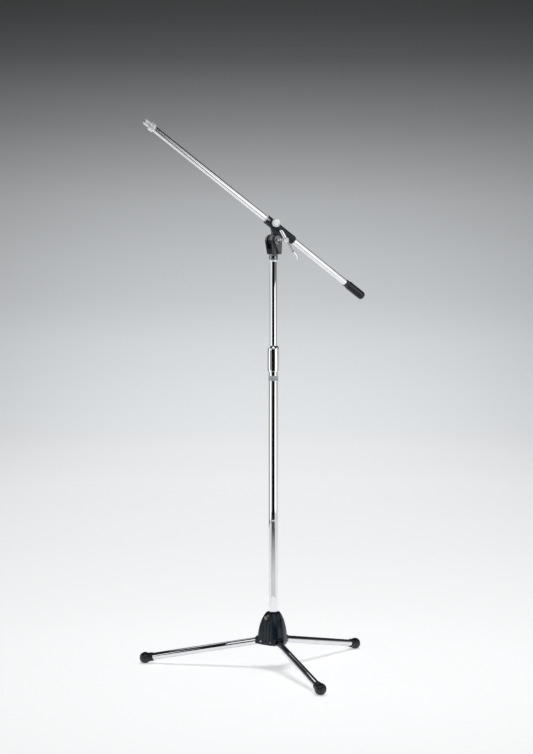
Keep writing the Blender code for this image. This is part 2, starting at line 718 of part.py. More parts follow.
def make_boom_clamp():
    """The casting: the sleeve round the boom, its lug, the knob's boss and the open front end."""
    sleeve = [
        (0.0, -SLEEVE_HALF),
        (SLEEVE_R - 0.003, -SLEEVE_HALF),
        (SLEEVE_R - 0.0009, -SLEEVE_HALF + 0.0012),
        (SLEEVE_R, -SLEEVE_HALF + 0.0035),
        (SLEEVE_R, SLEEVE_HALF - 0.001),
        (SLEEVE_R - 0.001, SLEEVE_HALF),
        (0.0, SLEEVE_HALF),
    ]
    clamp = link("boom_clamp", turned(sleeve, ROUND), BOOM_FRAME, "black_casting")
    join(clamp, "clamp_lug", lug_solid(), BOOM_FRAME)
    join(clamp, "knob_boss", turned(rod_section(0.0068, 0.002, 0.0170), SMALL_ROUND), KNOB_FRAME)
    bore = turned(rod_section(SLEEVE_BORE_R, -0.08, 0.08), ROUND)
    cut(clamp, "sleeve_bore", bore, BOOM_FRAME)
    notch_half, notch_end = 0.0036, 0.0395
    notch = [(-notch_half, -0.030), (notch_half, -0.030), (notch_half, 0.0), (-notch_half, 0.0)]
    cut(clamp, "front_notch", extruded(notch, notch_end, 0.080), BOOM_FRAME)
    cut(clamp, "eye_hole", turned(rod_section(BOLT_R + GAP, -0.03, 0.03), SMALL_ROUND), HANDLE_FRAME)
    pad_r, screw_r, step = PAD_R + GAP, KNOB_SCREW_R + GAP, PAD_SPAN[1] + GAP
    stepped = [(0.0, 0.0), (pad_r, 0.0), (pad_r, step), (screw_r, step), (screw_r, 0.03), (0.0, 0.03)]
    cut(clamp, "screw_bore", turned(stepped, SMALL_ROUND), KNOB_FRAME)
    pad = turned(rod_section(PAD_R, *PAD_SPAN), SMALL_ROUND)
    pieces = [clamp, link("pressure_pad", pad, KNOB_FRAME, "brass")]
    carry(joint_empty("boom_tilt", PIVOT), pieces)


def make_boom_knob():
    low, high = KNOB_Y
    neck_r, neck_start, bore_r = 0.0062, 0.0173, KNOB_SCREW_R + GAP
    bottom = low + 0.0048
    section = [
        (0.0, high),
        (KNOB_R - 0.0024, high),
        (KNOB_R - 0.0007, high - 0.0008),
        (KNOB_R, high - 0.0022),
        (KNOB_R, low + 0.0014),
        (KNOB_R - 0.0014, low),
        (neck_r, low - 0.0006),
        (neck_r, neck_start),
        (bore_r, neck_start),
        (bore_r, bottom),
        (0.0, bottom),
    ]
    knob = link("boom_knob", turned(section, ROUND), KNOB_FRAME, "chrome")
    shank = turned(rod_section(KNOB_SCREW_R, PAD_SPAN[1] + GAP, bottom - GAP, 0.0003), PIN_ROUND)
    screw = link("knob_screw", shank, KNOB_FRAME, "steel")
    carry(joint_empty("boom_knob_turn", KNOB_ORIGIN), [knob, screw])


def make_liner():
    inner, outer = LINER_R
    lip_r, lip_thick, tail = 0.0106, 0.0016, 0.0010
    lip = SLEEVE_HALF + GAP
    section = [(inner, -SLEEVE_HALF - tail), (outer, -SLEEVE_HALF - tail), (outer, lip),
               (lip_r, lip), (lip_r, lip + lip_thick), (inner, lip + lip_thick)]
    liner = link("boom_liner", turned(section, ROUND), BOOM_FRAME, "pale_plastic")
    slit = extruded(slit_outline(0.0016), -0.08, 0.08)
    cut(liner, "liner_slit", slit, BOOM_FRAME)
    carry(joint_empty("boom_roll", BOOM_FOOT), [liner])


def make_boom():
    tube = turned(ring_section(BOOM_R - BOOM_WALL, BOOM_R, *BOOM_TUBE_SPAN), ROUND)
    pieces = [link("boom_tube", tube, BOOM_FRAME, "chrome"), make_grip(), make_tip()]
    carry(joint_empty("boom_slide", BOOM_FOOT), pieces)


def make_grip():
    """The rubber grip on the boom's low end: a collar, a wider body and a round end."""
    end, mouth = GRIP_SPAN
    socket, dome, collar_r = BOOM_R + GAP, 0.0075, 0.0098
    grip = [(0.0, end)] + [
        (GRIP_R - dome + radius, z)
        for radius, z in arc((0.0, end + dome), dome, 180.0, 90.0, 6)
    ]
    grip += [
        (GRIP_R, mouth - 0.0115),
        (collar_r, mouth - 0.0100),
        (collar_r, mouth - 0.0005),
        (collar_r - 0.0005, mouth),
        (socket, mouth),
        (socket, BOOM_TUBE_SPAN[0] - GAP),
        (0.0, BOOM_TUBE_SPAN[0] - GAP),
    ]
    return link("boom_grip", turned(grip, ROUND), BOOM_FRAME, "rubber")


def make_tip():
    """The microphone end: a spigot in the tube, a flange and a hollow stud with a coin slot."""
    low, high = FLANGE_SPAN
    spigot, root, bevel = BOOM_R - BOOM_WALL - GAP, 0.4200, 0.0006
    low_bevel, high_bevel = 0.0016, 0.0020
    depth = 0.0150
    tip = [
        (0.0, root),
        (spigot - bevel, root),
        (spigot, root + bevel),
        (spigot, low),
        (FLANGE_R - low_bevel, low),
        (FLANGE_R, low + low_bevel),
        (FLANGE_R, high - high_bevel),
        (FLANGE_R - high_bevel, high),
        (STUD_R, high),
        (STUD_R, STUD_END - 0.0008),
        (STUD_R - 0.0008, STUD_END),
        (STUD_BORE_R, STUD_END),
        (STUD_BORE_R, STUD_END - depth),
        (0.0, STUD_END - depth),
    ]
    adapter = link("tip_adapter", turned(tip, ROUND), BOOM_FRAME, "chrome")
    half, deep = 0.0012, 0.0030
    slot = extruded([(-0.02, -half), (0.02, -half), (0.02, half), (-0.02, half)], STUD_END - deep, 0.5)
    cut(adapter, "coin_slot", slot, BOOM_FRAME)
    return adapter


def main():
    clear_scene()
    make_base()
    make_clamp_screw()
    for number, angle in enumerate(LEG_ANGLES, 1):
        make_leg(number, angle)
    make_lower_mast()
    make_clutch()
    make_guide()
    make_upper_mast()
    make_handle()
    make_boom_clamp()
    make_boom_knob()
    make_liner()
    make_boom()


main()
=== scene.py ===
"""The looks of the boom microphone stand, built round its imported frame.

Lengths are metres, angles degrees, and every place is read from the frame: the joints give the axes, and
the CAD nodes give the spans and radii that each finer piece is made to. The floor is under the feet.
"""

import collections
import json
import math

import bmesh
import bpy
from mathutils import Matrix, Vector


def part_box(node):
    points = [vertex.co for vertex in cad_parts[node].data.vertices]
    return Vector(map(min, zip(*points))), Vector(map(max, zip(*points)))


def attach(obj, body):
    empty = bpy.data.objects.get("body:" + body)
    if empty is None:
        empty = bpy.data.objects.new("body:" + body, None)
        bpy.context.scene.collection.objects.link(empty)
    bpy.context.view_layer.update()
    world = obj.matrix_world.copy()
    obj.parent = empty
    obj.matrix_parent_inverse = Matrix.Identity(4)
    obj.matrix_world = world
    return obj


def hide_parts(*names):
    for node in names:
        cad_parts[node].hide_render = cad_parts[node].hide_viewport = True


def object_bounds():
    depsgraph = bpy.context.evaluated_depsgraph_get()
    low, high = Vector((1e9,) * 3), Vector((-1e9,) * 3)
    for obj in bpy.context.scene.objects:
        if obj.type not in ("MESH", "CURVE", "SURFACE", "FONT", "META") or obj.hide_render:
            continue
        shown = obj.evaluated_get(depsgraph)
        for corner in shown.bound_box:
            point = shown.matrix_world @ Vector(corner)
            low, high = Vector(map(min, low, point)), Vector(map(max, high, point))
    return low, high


# Corners round a turned piece, its fine form, a bored hole and a small pin
ROUND = 96
FINE_ROUND = 144
HOLE_ROUND = 64
PIN_ROUND = 48
SHARP_ANGLE = 32.0
LEGS = (1, 2, 3)

# The clearances between pieces
GAP = 0.0003
SNUG = 0.0002

# Camera
CAMERA_DISTANCE = 5.0
CAMERA_HEIGHT = 1.018
CAMERA_AZIMUTH = -30.0
IMAGE_SIZE = (533, 754)
FOCAL_PIXELS = 1925.0
SENSOR = 36.0
MAST_RIGHT_OF_CENTRE = 6.9
HORIZON_ABOVE_CENTRE = 101.0

# Studio
SWEEP_RADIUS = 9.0
SWEEP_BEND = 2.0
SWEEP_TOP = 9.0
SWEEP_ROUND = 128
CARD_TINT = (0.97, 0.985, 1.0, 1.0)
WORLD_DARK = (0.015, 0.017, 0.020, 1.0)
LEVEL = (1.0, 1.0, 0.0)
# The paper's painted glow, as (distance out over the floor and then up the wall, strength), and how it falls
# off from the middle to each side.
PAPER_GLOW = [(0.0, 0.56), (0.5, 0.54), (1.0, 0.53), (1.45, 0.55), (1.9, 0.58), (2.4, 0.61), (3.0, 0.655),
              (4.5, 0.725), (6.3, 0.72), (8.2, 0.64), (8.95, 0.58), (9.5, 0.48), (9.95, 0.43), (10.5, 0.34),
              (11.1, 0.16), (11.6, 0.06), (12.0, 0.036), (12.6, 0.018), (14.0, 0.010)]
FLOOR_TINT = (0.975, 0.99, 1.0)
WALL_TINT = (0.95, 0.985, 1.01)
PAPER_RISE = 5.0
PAPER_POOL = 2.0
PAPER_EDGE = 0.75

# How strongly the black skins reflect, and the two ways a noise is stretched over a piece
BLACK_SHEEN = 0.30
EVEN = (1.0, 1.0, 1.0)
LENGTHWISE = (0.15, 0.15, 8.0)

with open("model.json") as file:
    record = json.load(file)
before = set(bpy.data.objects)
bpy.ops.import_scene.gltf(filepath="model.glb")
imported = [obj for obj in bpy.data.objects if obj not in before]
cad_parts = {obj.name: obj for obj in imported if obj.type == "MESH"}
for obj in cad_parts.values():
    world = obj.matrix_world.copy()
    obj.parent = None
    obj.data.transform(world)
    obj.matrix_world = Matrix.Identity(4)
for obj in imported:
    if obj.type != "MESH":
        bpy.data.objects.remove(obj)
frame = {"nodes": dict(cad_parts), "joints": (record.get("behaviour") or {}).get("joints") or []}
cad_low, cad_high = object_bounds()
JOINTS = {joint["name"]: joint for joint in frame["joints"]}
FLOOR = cad_low.z
UP = Vector((0.0, 0.0, 1.0))

Span = collections.namedtuple("Span", "low high inner outer")


def axes_frame(origin, x_axis, y_axis, z_axis):
    made = Matrix((x_axis, y_axis, z_axis)).transposed().to_4x4()
    made.translation = Vector(origin)
    return made


def along(axis, origin, side):
    """A frame whose Z is the axis, with its X as near to side as it can be."""
    z_axis = Vector(axis).normalized()
    side = Vector(side)
    x_axis = (side - side.dot(z_axis) * z_axis).normalized()
    return axes_frame(origin, x_axis, z_axis.cross(x_axis), z_axis)


def joint_frame(name, side):
    joint = JOINTS[name]
    return along(joint["axis"], joint["pos_m"], side)


def measure(node, at):
    """A CAD node's span along the frame's Z, and the least and greatest radius of its corners about Z."""
    inverse = at.inverted()
    points = [inverse @ vert.co for vert in frame["nodes"][node].data.vertices]
    reach = [math.hypot(point.x, point.y) for point in points]
    heights = [point.z for point in points]
    return Span(min(heights), max(heights), min(reach), max(reach))


MAST = along(UP, (0.0, 0.0, 0.0), (1.0, 0.0, 0.0))
BOOM = joint_frame("boom_roll", JOINTS["boom_tilt"]["axis"])
PIVOT = Vector(JOINTS["boom_tilt"]["pos_m"])
HANDLE = joint_frame("tilt_handle_turn", (1.0, 0.0, 0.0))
KNOB = joint_frame("boom_knob_turn", (1.0, 0.0, 0.0))
SCREW = joint_frame("base_clamp_turn", UP)
# The boom's axis, with X away from the tilt pivot
BOOM_SIDE = along(JOINTS["boom_roll"]["axis"], BOOM.translation, BOOM.translation - PIVOT)


# ---------------------------------------------------------------- meshes


def add_mesh(name, verts, faces, at):
    mesh = bpy.data.meshes.new(name)
    mesh.from_pydata(verts, [], faces)
    bm = bmesh.new()
    bm.from_mesh(mesh)
    bmesh.ops.recalc_face_normals(bm, faces=bm.faces)
    bm.to_mesh(mesh)
    bm.free()
    obj = bpy.data.objects.new(name, mesh)
    bpy.context.scene.collection.objects.link(obj)
    obj.matrix_world = at
    shade(obj)
    return obj


def shade(obj, angle=SHARP_ANGLE):
    obj.data.shade_smooth()
    obj.data.set_sharp_from_angle(angle=math.radians(angle))


def unit(value):
    """The value held between 0 and 1."""
    return min(1.0, max(0.0, value))


def ring_faces(low, high):
    """The faces between two rings of corners, either of which may be one corner repeated."""
    faces = []
    for k in range(len(low)):
        after = (k + 1) % len(low)
        corners = list(dict.fromkeys((low[k], low[after], high[after], high[k])))
        if len(corners) > 2:
            faces.append(corners)
    return faces


def lathe(name, section, at, segments=ROUND, shape=None):
    """Turns a (radius, z) section about Z, and closes one that starts off the axis to a ring.
    shape(radius, angle, z) may give another radius."""
    rings, verts = [], []
    for radius, height in section:
        if radius == 0.0:
            rings.append([len(verts)] * segments)
            verts.append((0.0, 0.0, height))
            continue
        rings.append(list(range(len(verts), len(verts) + segments)))
        for k in range(segments):
            angle = math.tau * k / segments
            reach = shape(radius, angle, height) if shape else radius
            verts.append((reach * math.cos(angle), reach * math.sin(angle), height))
    pairs = list(zip(rings, rings[1:]))
    if section[0][0] > 0.0:
        pairs.append((rings[-1], rings[0]))
    faces = [face for low, high in pairs for face in ring_faces(low, high)]
    return add_mesh(name, verts, faces, at)


def cylinder(name, radius, low, high, at, segments=ROUND):
    return lathe(name, [(0.0, low), (radius, low), (radius, high), (0.0, high)], at, segments)


def rounded(corners, steps=4):
    """(radius, z) points of a section whose corners are (radius, z, fillet)."""
    found = []
    last = len(corners) - 1
    is_open = corners[0][0] == 0.0
    for k, (radius, height, size) in enumerate(corners):
        if size == 0.0 or (is_open and k in (0, last)):
            found.append((radius, height))
            continue
        here = Vector((radius, height))
        before = here + size * (Vector(corners[k - 1][:2]) - here).normalized()
        after = here + size * (Vector(corners[(k + 1) % len(corners)][:2]) - here).normalized()
        for step in range(steps + 1):
            t = step / steps
            point = (1 - t) ** 2 * before + 2 * t * (1 - t) * here + t * t * after
            found.append((point.x, point.y))
    return found


def both_ends(corners, low, high):
    """The corners of a section's lower end, then the same ones at its upper end."""
    return corners + [(radius, high - (height - low), size) for radius, height, size in corners[::-1]]


def rod_section(radius, low, high, edge):
    """The section of a solid rod with rounded ends."""
    return rounded(both_ends([(0.0, low, 0.0), (radius, low, edge)], low, high))


def subdivided(points, length, closed=False):
    """The points with the long straight runs between them split, so that a shape can vary along them."""
    found = []
    for start, end in zip(points, points[1:] + points[:1] if closed else points[1:]):
        pieces = max(1, math.ceil(math.dist(start, end) / length))
        for k in range(pieces):
            t = k / pieces
            found.append((start[0] + (end[0] - start[0]) * t, start[1] + (end[1] - start[1]) * t))
    return found if closed else found + points[-1:]


def circle_arc(centre, radius, start, end, steps):
    """(radius, z) points round a circle in the section, with 0 degrees along +z."""
    return [(max(0.0, x), y) for y, x in arc(centre[::-1], radius, start, end, steps)]


def arc(centre, radius, start, end, steps):
    """XY points round a circle, with 0 degrees along +x."""
    angles = [math.radians(start + (end - start) * step / steps) for step in range(steps + 1)]
    return [(centre[0] + radius * math.cos(angle), centre[1] + radius * math.sin(angle)) for angle in angles]


def prism(name, outline, low, high, at, bevel=0.0, segments=3):
    """A prism over an XY outline, with its edges rounded by bevel."""
    count = len(outline)
    verts = [(x, y, low) for x, y in outline] + [(x, y, high) for x, y in outline]
    faces = [list(range(count))[::-1], list(range(count, 2 * count))]
    for k in range(count):
        after = (k + 1) % count
        faces.append([k, after, after + count, k + count])
    obj = add_mesh(name, verts, faces, at)
    if bevel:
        modifier = obj.modifiers.new("bevel", "BEVEL")
        modifier.width = bevel
        modifier.segments = segments
        modifier.limit_method = "ANGLE"
        modifier.angle_limit = math.radians(25)
        bake(obj)
    return obj


def block(name, along_x, along_y, along_z, at, bevel=0.0):
    """A box between two places on each axis."""
    (left, right), (near, far) = along_x, along_y
    return prism(name, [(left, near), (right, near), (right, far), (left, far)], *along_z, at, bevel)


def bake(obj):
    """Applies the object's modifiers to its mesh."""
    bpy.context.view_layer.update()
    graph = bpy.context.evaluated_depsgraph_get()
    made = bpy.data.meshes.new_from_object(obj.evaluated_get(graph))
    old = obj.data
    obj.modifiers.clear()
    obj.data = made
    bpy.data.meshes.remove(old)
    made.name = obj.name
    shade(obj)


def combine(obj, others, operation="DIFFERENCE"):
    """Cuts or joins solids, then removes them."""
    for other in others:
        modifier = obj.modifiers.new(other.name, "BOOLEAN")
        modifier.operation = operation
        modifier.object = other
        modifier.solver = "EXACT"
    bake(obj)
    for other in others:
        bpy.data.objects.remove(other, do_unlink=True)


def cast(name, solids, at, voxel, smoothing):
    """Melts overlapping solids into one cast shape with soft inner corners."""
    verts, faces = [], []
    inverse = at.inverted()
    for solid in solids:
        start = len(verts)
        to_local = inverse @ solid.matrix_world
        verts += [tuple(to_local @ vert.co) for vert in solid.data.vertices]
        faces += [[start + index for index in face.vertices] for face in solid.data.polygons]
        bpy.data.objects.remove(solid, do_unlink=True)
    obj = add_mesh(name, verts, faces, at)
    remesh = obj.modifiers.new("melt", "REMESH")
    remesh.mode = "VOXEL"
    remesh.voxel_size = voxel
    smooth = obj.modifiers.new("soften", "SMOOTH")
    smooth.factor = 0.5
    smooth.iterations = smoothing
    bake(obj)
    return obj


def place(obj, body, slot, material, *nodes):
    """Gives a piece its finish and its body, and hides the CAD nodes that it stands for."""
    obj.data.materials.clear()
    obj.data.materials.append(material)
    if nodes:
        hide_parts(*nodes)
    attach(obj, body)


# ---------------------------------------------------------------- materials


def new_material(name, colour, metallic, roughness):
    material = bpy.data.materials.new(name)
    material.use_nodes = True
    tree = material.node_tree
    shader = tree.nodes["Principled BSDF"]
    shader.inputs["Base Color"].default_value = (*colour, 1.0)
    shader.inputs["Metallic"].default_value = metallic
    shader.inputs["Roughness"].default_value = roughness
    return material, tree, shader


def node(tree, kind, **settings):
    made = tree.nodes.new(kind)
    for key, value in settings.items():
        setattr(made, key, value)
    return made


def own_place(tree):
    return node(tree, "ShaderNodeTexCoord").outputs["Object"]


def maths(tree, operation, first, second):
    made = node(tree, "ShaderNodeMath", operation=operation)
    tree.links.new(first, made.inputs[0])
    tree.links.new(second, made.inputs[1])
    return made.outputs["Value"]


def vector_maths(tree, operation, value, fixed=None):
    """A vector node that takes a value and, for some operations, a fixed vector."""
    made = node(tree, "ShaderNodeVectorMath", operation=operation)
    tree.links.new(value, made.inputs[0])
    if fixed is not None:
        made.inputs[1].default_value = fixed
    return made


def noise_texture(tree, scale, detail, stretch=EVEN):
    """A noise over the piece's own coordinates, finer along the axes where stretch is greater."""
    mapping = node(tree, "ShaderNodeMapping")
    mapping.inputs["Scale"].default_value = stretch
    texture = node(tree, "ShaderNodeTexNoise")
    texture.inputs["Scale"].default_value = scale
    texture.inputs["Detail"].default_value = detail
    tree.links.new(own_place(tree), mapping.inputs["Vector"])
    tree.links.new(mapping.outputs["Vector"], texture.inputs["Vector"])
    return texture.outputs["Fac"]


def remap(tree, value, low, high, out_low, out_high):
    made = node(tree, "ShaderNodeMapRange")
    tree.links.new(value, made.inputs["Value"])
    for key, number in zip(("From Min", "From Max", "To Min", "To Max"), (low, high, out_low, out_high)):
        made.inputs[key].default_value = number
    return made.outputs["Result"]


def two_tone(tree, value, first, second, low=0.35, high=0.65):
    ramp = node(tree, "ShaderNodeValToRGB")
    ramp.color_ramp.elements[0].position = low
    ramp.color_ramp.elements[0].color = (*first, 1.0)
    ramp.color_ramp.elements[1].position = high
    ramp.color_ramp.elements[1].color = (*second, 1.0)
    tree.links.new(value, ramp.inputs["Fac"])
    return ramp.outputs["Color"]


def add_bump(tree, shader, value, strength, distance):
    bump = node(tree, "ShaderNodeBump")
    bump.inputs["Strength"].default_value = strength
    bump.inputs["Distance"].default_value = distance
    tree.links.new(value, bump.inputs["Height"])
    tree.links.new(bump.outputs["Normal"], shader.inputs["Normal"])


def chrome(name, roughness, tone=(0.86, 0.87, 0.885), metallic=1.0, stretch=EVEN):
    """Plated metal: faint polishing lines, soft smudges and a slightly duller tone where it is handled."""
    material, tree, shader = new_material(name, tone, metallic, roughness)
    smudges = noise_texture(tree, 42.0, 5.0)
    lines = noise_texture(tree, 900.0, 2.0, stretch)
    clean = tuple(part * 1.02 for part in tone)
    handled = tuple(part * 0.98 for part in tone)
    tree.links.new(remap(tree, smudges, 0.3, 0.75, roughness * 0.8, roughness * 1.4),
                   shader.inputs["Roughness"])
    tree.links.new(two_tone(tree, smudges, clean, handled), shader.inputs["Base Color"])
    add_bump(tree, shader, lines, 0.01, 0.00002)
    return material


def coated_black(name, tone, edge_wear_and_highlight_tone, roughness, grain_scale=1400.0, grain_depth=0.00004,
                 sheen=BLACK_SHEEN):
    """A black skin with a fine grain, clouded gloss and edges a little lighter, partly rubbed wear and partly
    a painted highlight.
    """
    material, tree, shader = new_material(name, tone, 0.0, roughness)
    clouds = noise_texture(tree, 70.0, 4.0)
    grain = noise_texture(tree, grain_scale, 3.0)
    geometry = node(tree, "ShaderNodeNewGeometry")
    edges = remap(tree, geometry.outputs["Pointiness"], 0.52, 0.62, 0.0, 1.0)
    # Lighter edges: partly rubbed wear, partly painted highlight.
    rubbed_and_highlit_edges = maths(tree, "MULTIPLY", edges, clouds)
    tree.links.new(two_tone(tree, rubbed_and_highlit_edges, tone, edge_wear_and_highlight_tone, 0.05, 0.8), shader.inputs["Base Color"])
    tree.links.new(remap(tree, clouds, 0.3, 0.7, roughness * 0.85, roughness * 1.15),
                   shader.inputs["Roughness"])
    shader.inputs["Specular IOR Level"].default_value = sheen
    add_bump(tree, shader, grain, 0.35, grain_depth)
    return material


def satin_steel(name, tone, dark_tone, roughness):
    """Zinc plate or turned brass: mottled tone under fine turning marks."""
    material, tree, shader = new_material(name, tone, 1.0, roughness)
    mottle = noise_texture(tree, 260.0, 4.0)
    turning = noise_texture(tree, 500.0, 2.0, (0.1, 0.1, 9.0))
    tree.links.new(two_tone(tree, mottle, dark_tone, tone), shader.inputs["Base Color"])
    tree.links.new(remap(tree, mottle, 0.3, 0.7, roughness * 0.75, roughness * 1.25),
                   shader.inputs["Roughness"])
    add_bump(tree, shader, turning, 0.15, 0.0001)
    return material


def nylon(name, tone, shade_tone, roughness):
    material, tree, shader = new_material(name, tone, 0.0, roughness)
    clouds = noise_texture(tree, 180.0, 4.0)
    grain = noise_texture(tree, 1500.0, 2.0)
    tree.links.new(two_tone(tree, clouds, shade_tone, tone), shader.inputs["Base Color"])
    add_bump(tree, shader, grain, 0.2, 0.00005)
    return material


TUBE_CHROME = chrome("tube_chrome", 0.022, stretch=LENGTHWISE)
BRIGHT_CHROME = chrome("polished_chrome", 0.022)
PEARL_PLATE = chrome("pearl_nickel_plate", 0.26, (0.87, 0.88, 0.89), metallic=0.5)
BLACK_NICKEL = chrome("black_nickel_plate", 0.10, (0.27, 0.28, 0.295))
# A dark plate: the thumb screw's own finish, and painted shade in the washer's dish.
DARK_PLATE_AND_DISH_SHADE = chrome("dark_plate_and_painted_dish_shade", 0.20, (0.16, 0.17, 0.18))
# A darker copy of the tube chrome: partly the plate's own tint, partly painted shade for the shadowed floor
# the legs reflect.
LEG_CHROME = chrome("leg_chrome", 0.030, (0.77, 0.785, 0.80), stretch=LENGTHWISE)
BAR_PLATE = chrome("grey_bar_plate", 0.28, (0.44, 0.45, 0.465), stretch=LENGTHWISE)
CASTING = coated_black("satin_black_casting", (0.005, 0.013, 0.021), (0.036, 0.050, 0.062), 0.28)
TILTER_BLACK = coated_black("tilter_black_casting", (0.004, 0.009, 0.014), (0.040, 0.052, 0.062), 0.20,
                            sheen=0.85)
PLASTIC = coated_black("moulded_black_nylon", (0.006, 0.012, 0.018), (0.032, 0.040, 0.046), 0.38,
                       1900.0, 0.00005)
RUBBER = coated_black("matte_rubber", (0.004, 0.009, 0.014), (0.030, 0.036, 0.042), 0.34,
                      2400.0, 0.00006, 0.5)
STEEL = satin_steel("zinc_plate", (0.63, 0.64, 0.66), (0.50, 0.51, 0.53), 0.30)
BRASS = satin_steel("turned_brass", (0.78, 0.60, 0.27), (0.62, 0.46, 0.19), 0.24)
PALE = nylon("natural_nylon", (0.80, 0.81, 0.82), (0.70, 0.71, 0.72), 0.35)
BAND = nylon("pale_band_skin", (0.60, 0.61, 0.62), (0.50, 0.51, 0.53), 0.30)


# ---------------------------------------------------------------- tubes and mast


def tube(name, cad_node, at, body, material):
    span = measure(cad_node, at)
    lip = 0.0004
    low_end = [(span.inner, span.low, lip), (span.outer, span.low, lip)]
    section = rounded(both_ends(low_end, span.low, span.high))
    place(lathe(name, section, at), body, "chrome_plate", material, cad_node)


def leg_frame(number):
    """Local Z out along the leg's tube, from the leg's pivot, and X up off it."""
    joint = JOINTS[f"leg_{number}_fold"]
    pivot, pin = Vector(joint["pos_m"]), Vector(joint["axis"])
    verts = frame["nodes"][f"leg_tube_{number}"].data.vertices
    middle = sum((vert.co for vert in verts), Vector()) / len(verts)
    out = middle - pivot
    out -= out.dot(pin) * pin
    return along(out, pivot, UP)


def make_legs():
    for number in LEGS:
        at = leg_frame(number)
        body = f"leg_{number}"
        tube(f"leg_{number}_chrome_tube", f"leg_tube_{number}", at, body, LEG_CHROME)
        make_foot(number, at, body)
        make_knuckle(number, at, body)


def make_foot(number, at, body):
    """A rubber bulb worn flat where it stands, with a ringed collar that grips the tube."""
    span = measure(f"foot_{number}", at)
    tube_span = measure(f"leg_tube_{number}", at)
    bulb, collar, groove = span.outer, 0.0115, 0.0006
    start, bore = span.low, tube_span.outer + SNUG
    meet = 180 - math.degrees(math.asin(collar / bulb))
    section = circle_arc((0.0, span.high - bulb), bulb, 0.0, meet, 30)
    join_at = section[-1][1]
    rings = 3
    ringed = join_at - start - 0.0022
    pitch = ringed / rings
    for ring in range(rings):
        top = join_at - 0.0008 - ring * ringed / rings
        section += [(collar, top - pitch * 0.10), (collar, top - pitch * 0.62),
                    (collar - groove, top - pitch * 0.74), (collar - groove, top - pitch * 0.90)]
    section += rounded([
        (collar, start + 0.0018, 0.0), (collar, start, 0.0008), (bore, start, 0.0002),
        (bore, tube_span.high, 0.0), (0.0, tube_span.high, 0.0)])
    foot = lathe(f"foot_{number}_rubber", section, at)
    inverse = at.inverted()
    for vert in foot.data.vertices:
        world = at @ vert.co
        if world.z < FLOOR:
            world.z = FLOOR
            vert.co = inverse @ world
    place(foot, body, "black_rubber", RUBBER, f"foot_{number}")


def make_knuckle(number, at, body):
    """The moulded plug in the leg's inner end, with its eye on the riveted pin."""
    pin_at = along(JOINTS[f"leg_{number}_fold"]["axis"], at.translation, at.col[2].to_3d())
    eye = measure(f"leg_knuckle_{number}", pin_at)
    tube_span = measure(f"leg_tube_{number}", at)
    pin = measure(f"leg_pin_{number}", pin_at)
    edge, rivet_edge = 0.0006, 0.0007
    plug_low, plug_high = 0.002, 0.045
    plug_section = rod_section(tube_span.inner - GAP, plug_low, plug_high, edge)
    plug = lathe(f"leg_{number}_moulded_knuckle", plug_section, at)
    eye_solid = lathe("eye", rod_section(tube_span.outer - 0.0004, eye.low, eye.high, edge), pin_at)
    hole = cylinder("hole", pin.outer + SNUG, -0.02, 0.02, pin_at, PIN_ROUND)
    combine(plug, [eye_solid], "UNION")
    combine(plug, [hole])
    place(plug, body, "black_plastic", PLASTIC, f"leg_knuckle_{number}")
    rivet_section = rod_section(pin.outer, pin.low, pin.high, rivet_edge)
    rivet = lathe(f"leg_{number}_riveted_pin", rivet_section, pin_at, PIN_ROUND)
    place(rivet, "base", "plated_steel", STEEL, f"leg_pin_{number}")


def make_mast():
    tube("lower_chrome_tube", "lower_tube", MAST, "lower_mast", TUBE_CHROME)
    tube("upper_chrome_tube", "upper_tube", MAST, "upper_mast", TUBE_CHROME)
    make_band()
    make_clutch()
    make_mast_top()
    finish_hidden_pieces()


def make_band():
    """The plain band round the lower tube, a thin wrapped strip with a rolled edge above and below."""
    span = measure("plain_band", MAST)
    proud, roll = 0.0004, 0.0011
    outer = span.outer + 0.0001
    section = rounded(both_ends([
        (span.inner, span.low, 0.0), (outer + proud, span.low, 0.0003),
        (outer + proud, span.low + roll, 0.0003), (outer, span.low + roll * 1.3, 0.0002)],
        span.low, span.high))
    place(lathe("plain_band_strip", section, MAST), "lower_mast", "plated_steel", BAND, "plain_band")


def make_clutch():
    """A chrome grip with twenty long flats, and the cone that turns with it."""
    span = measure("clutch_sleeve", MAST)
    flats = 20
    half = math.pi / flats
    first_edge = math.radians(CAMERA_AZIMUTH - 90.0)
    edge_wear = 0.9965
    plain_ring, run_out = 0.0034, 0.0012

    def flat_sided(radius, angle, height):
        if radius < 0.92 * span.outer:
            return radius
        inside = min(height - span.low, span.high - height)
        turn = (angle - first_edge) % (2 * half) - half
        flat = min(radius * math.cos(half) / math.cos(turn), radius * edge_wear)
        return radius + unit((inside - plain_ring) / run_out) * (flat - radius)

    bore = measure("lower_tube", MAST).outer + 0.0004
    mouth, room, belly = 0.0125, 0.0139, 0.018
    room_low, room_high = span.low + 0.003, span.high - 0.013
    section = subdivided(rounded([
        (bore, span.low, 0.0), (span.outer - 0.0004, span.low, 0.0009),
        (span.outer, span.low + belly, 0.004), (span.outer, span.high - belly, 0.004),
        (span.outer - 0.0003, span.high, 0.0005), (mouth, span.high, 0.0),
        (room, room_high, 0.0), (room, room_low, 0.0), (bore, room_low, 0.0)], 5), 0.0011)
    sleeve = lathe("clutch_grip_sleeve", section, MAST, 12 * flats, flat_sided)
    place(sleeve, "clutch", "chrome_plate", BRIGHT_CHROME, "clutch_sleeve")
    cap = measure("clutch_cap", MAST)
    section = rounded([
        (cap.inner, cap.low, 0.0), (cap.outer, cap.low, 0.0003),
        (cap.outer - 0.0002, cap.low + 0.0018, 0.0007),
        (cap.inner + 0.0013, cap.high - 0.0004, 0.0006), (cap.inner, cap.high, 0.0002)], 6)
    place(lathe("clutch_cone_cap", section, MAST), "clutch", "chrome_plate", BRIGHT_CHROME, "clutch_cap")


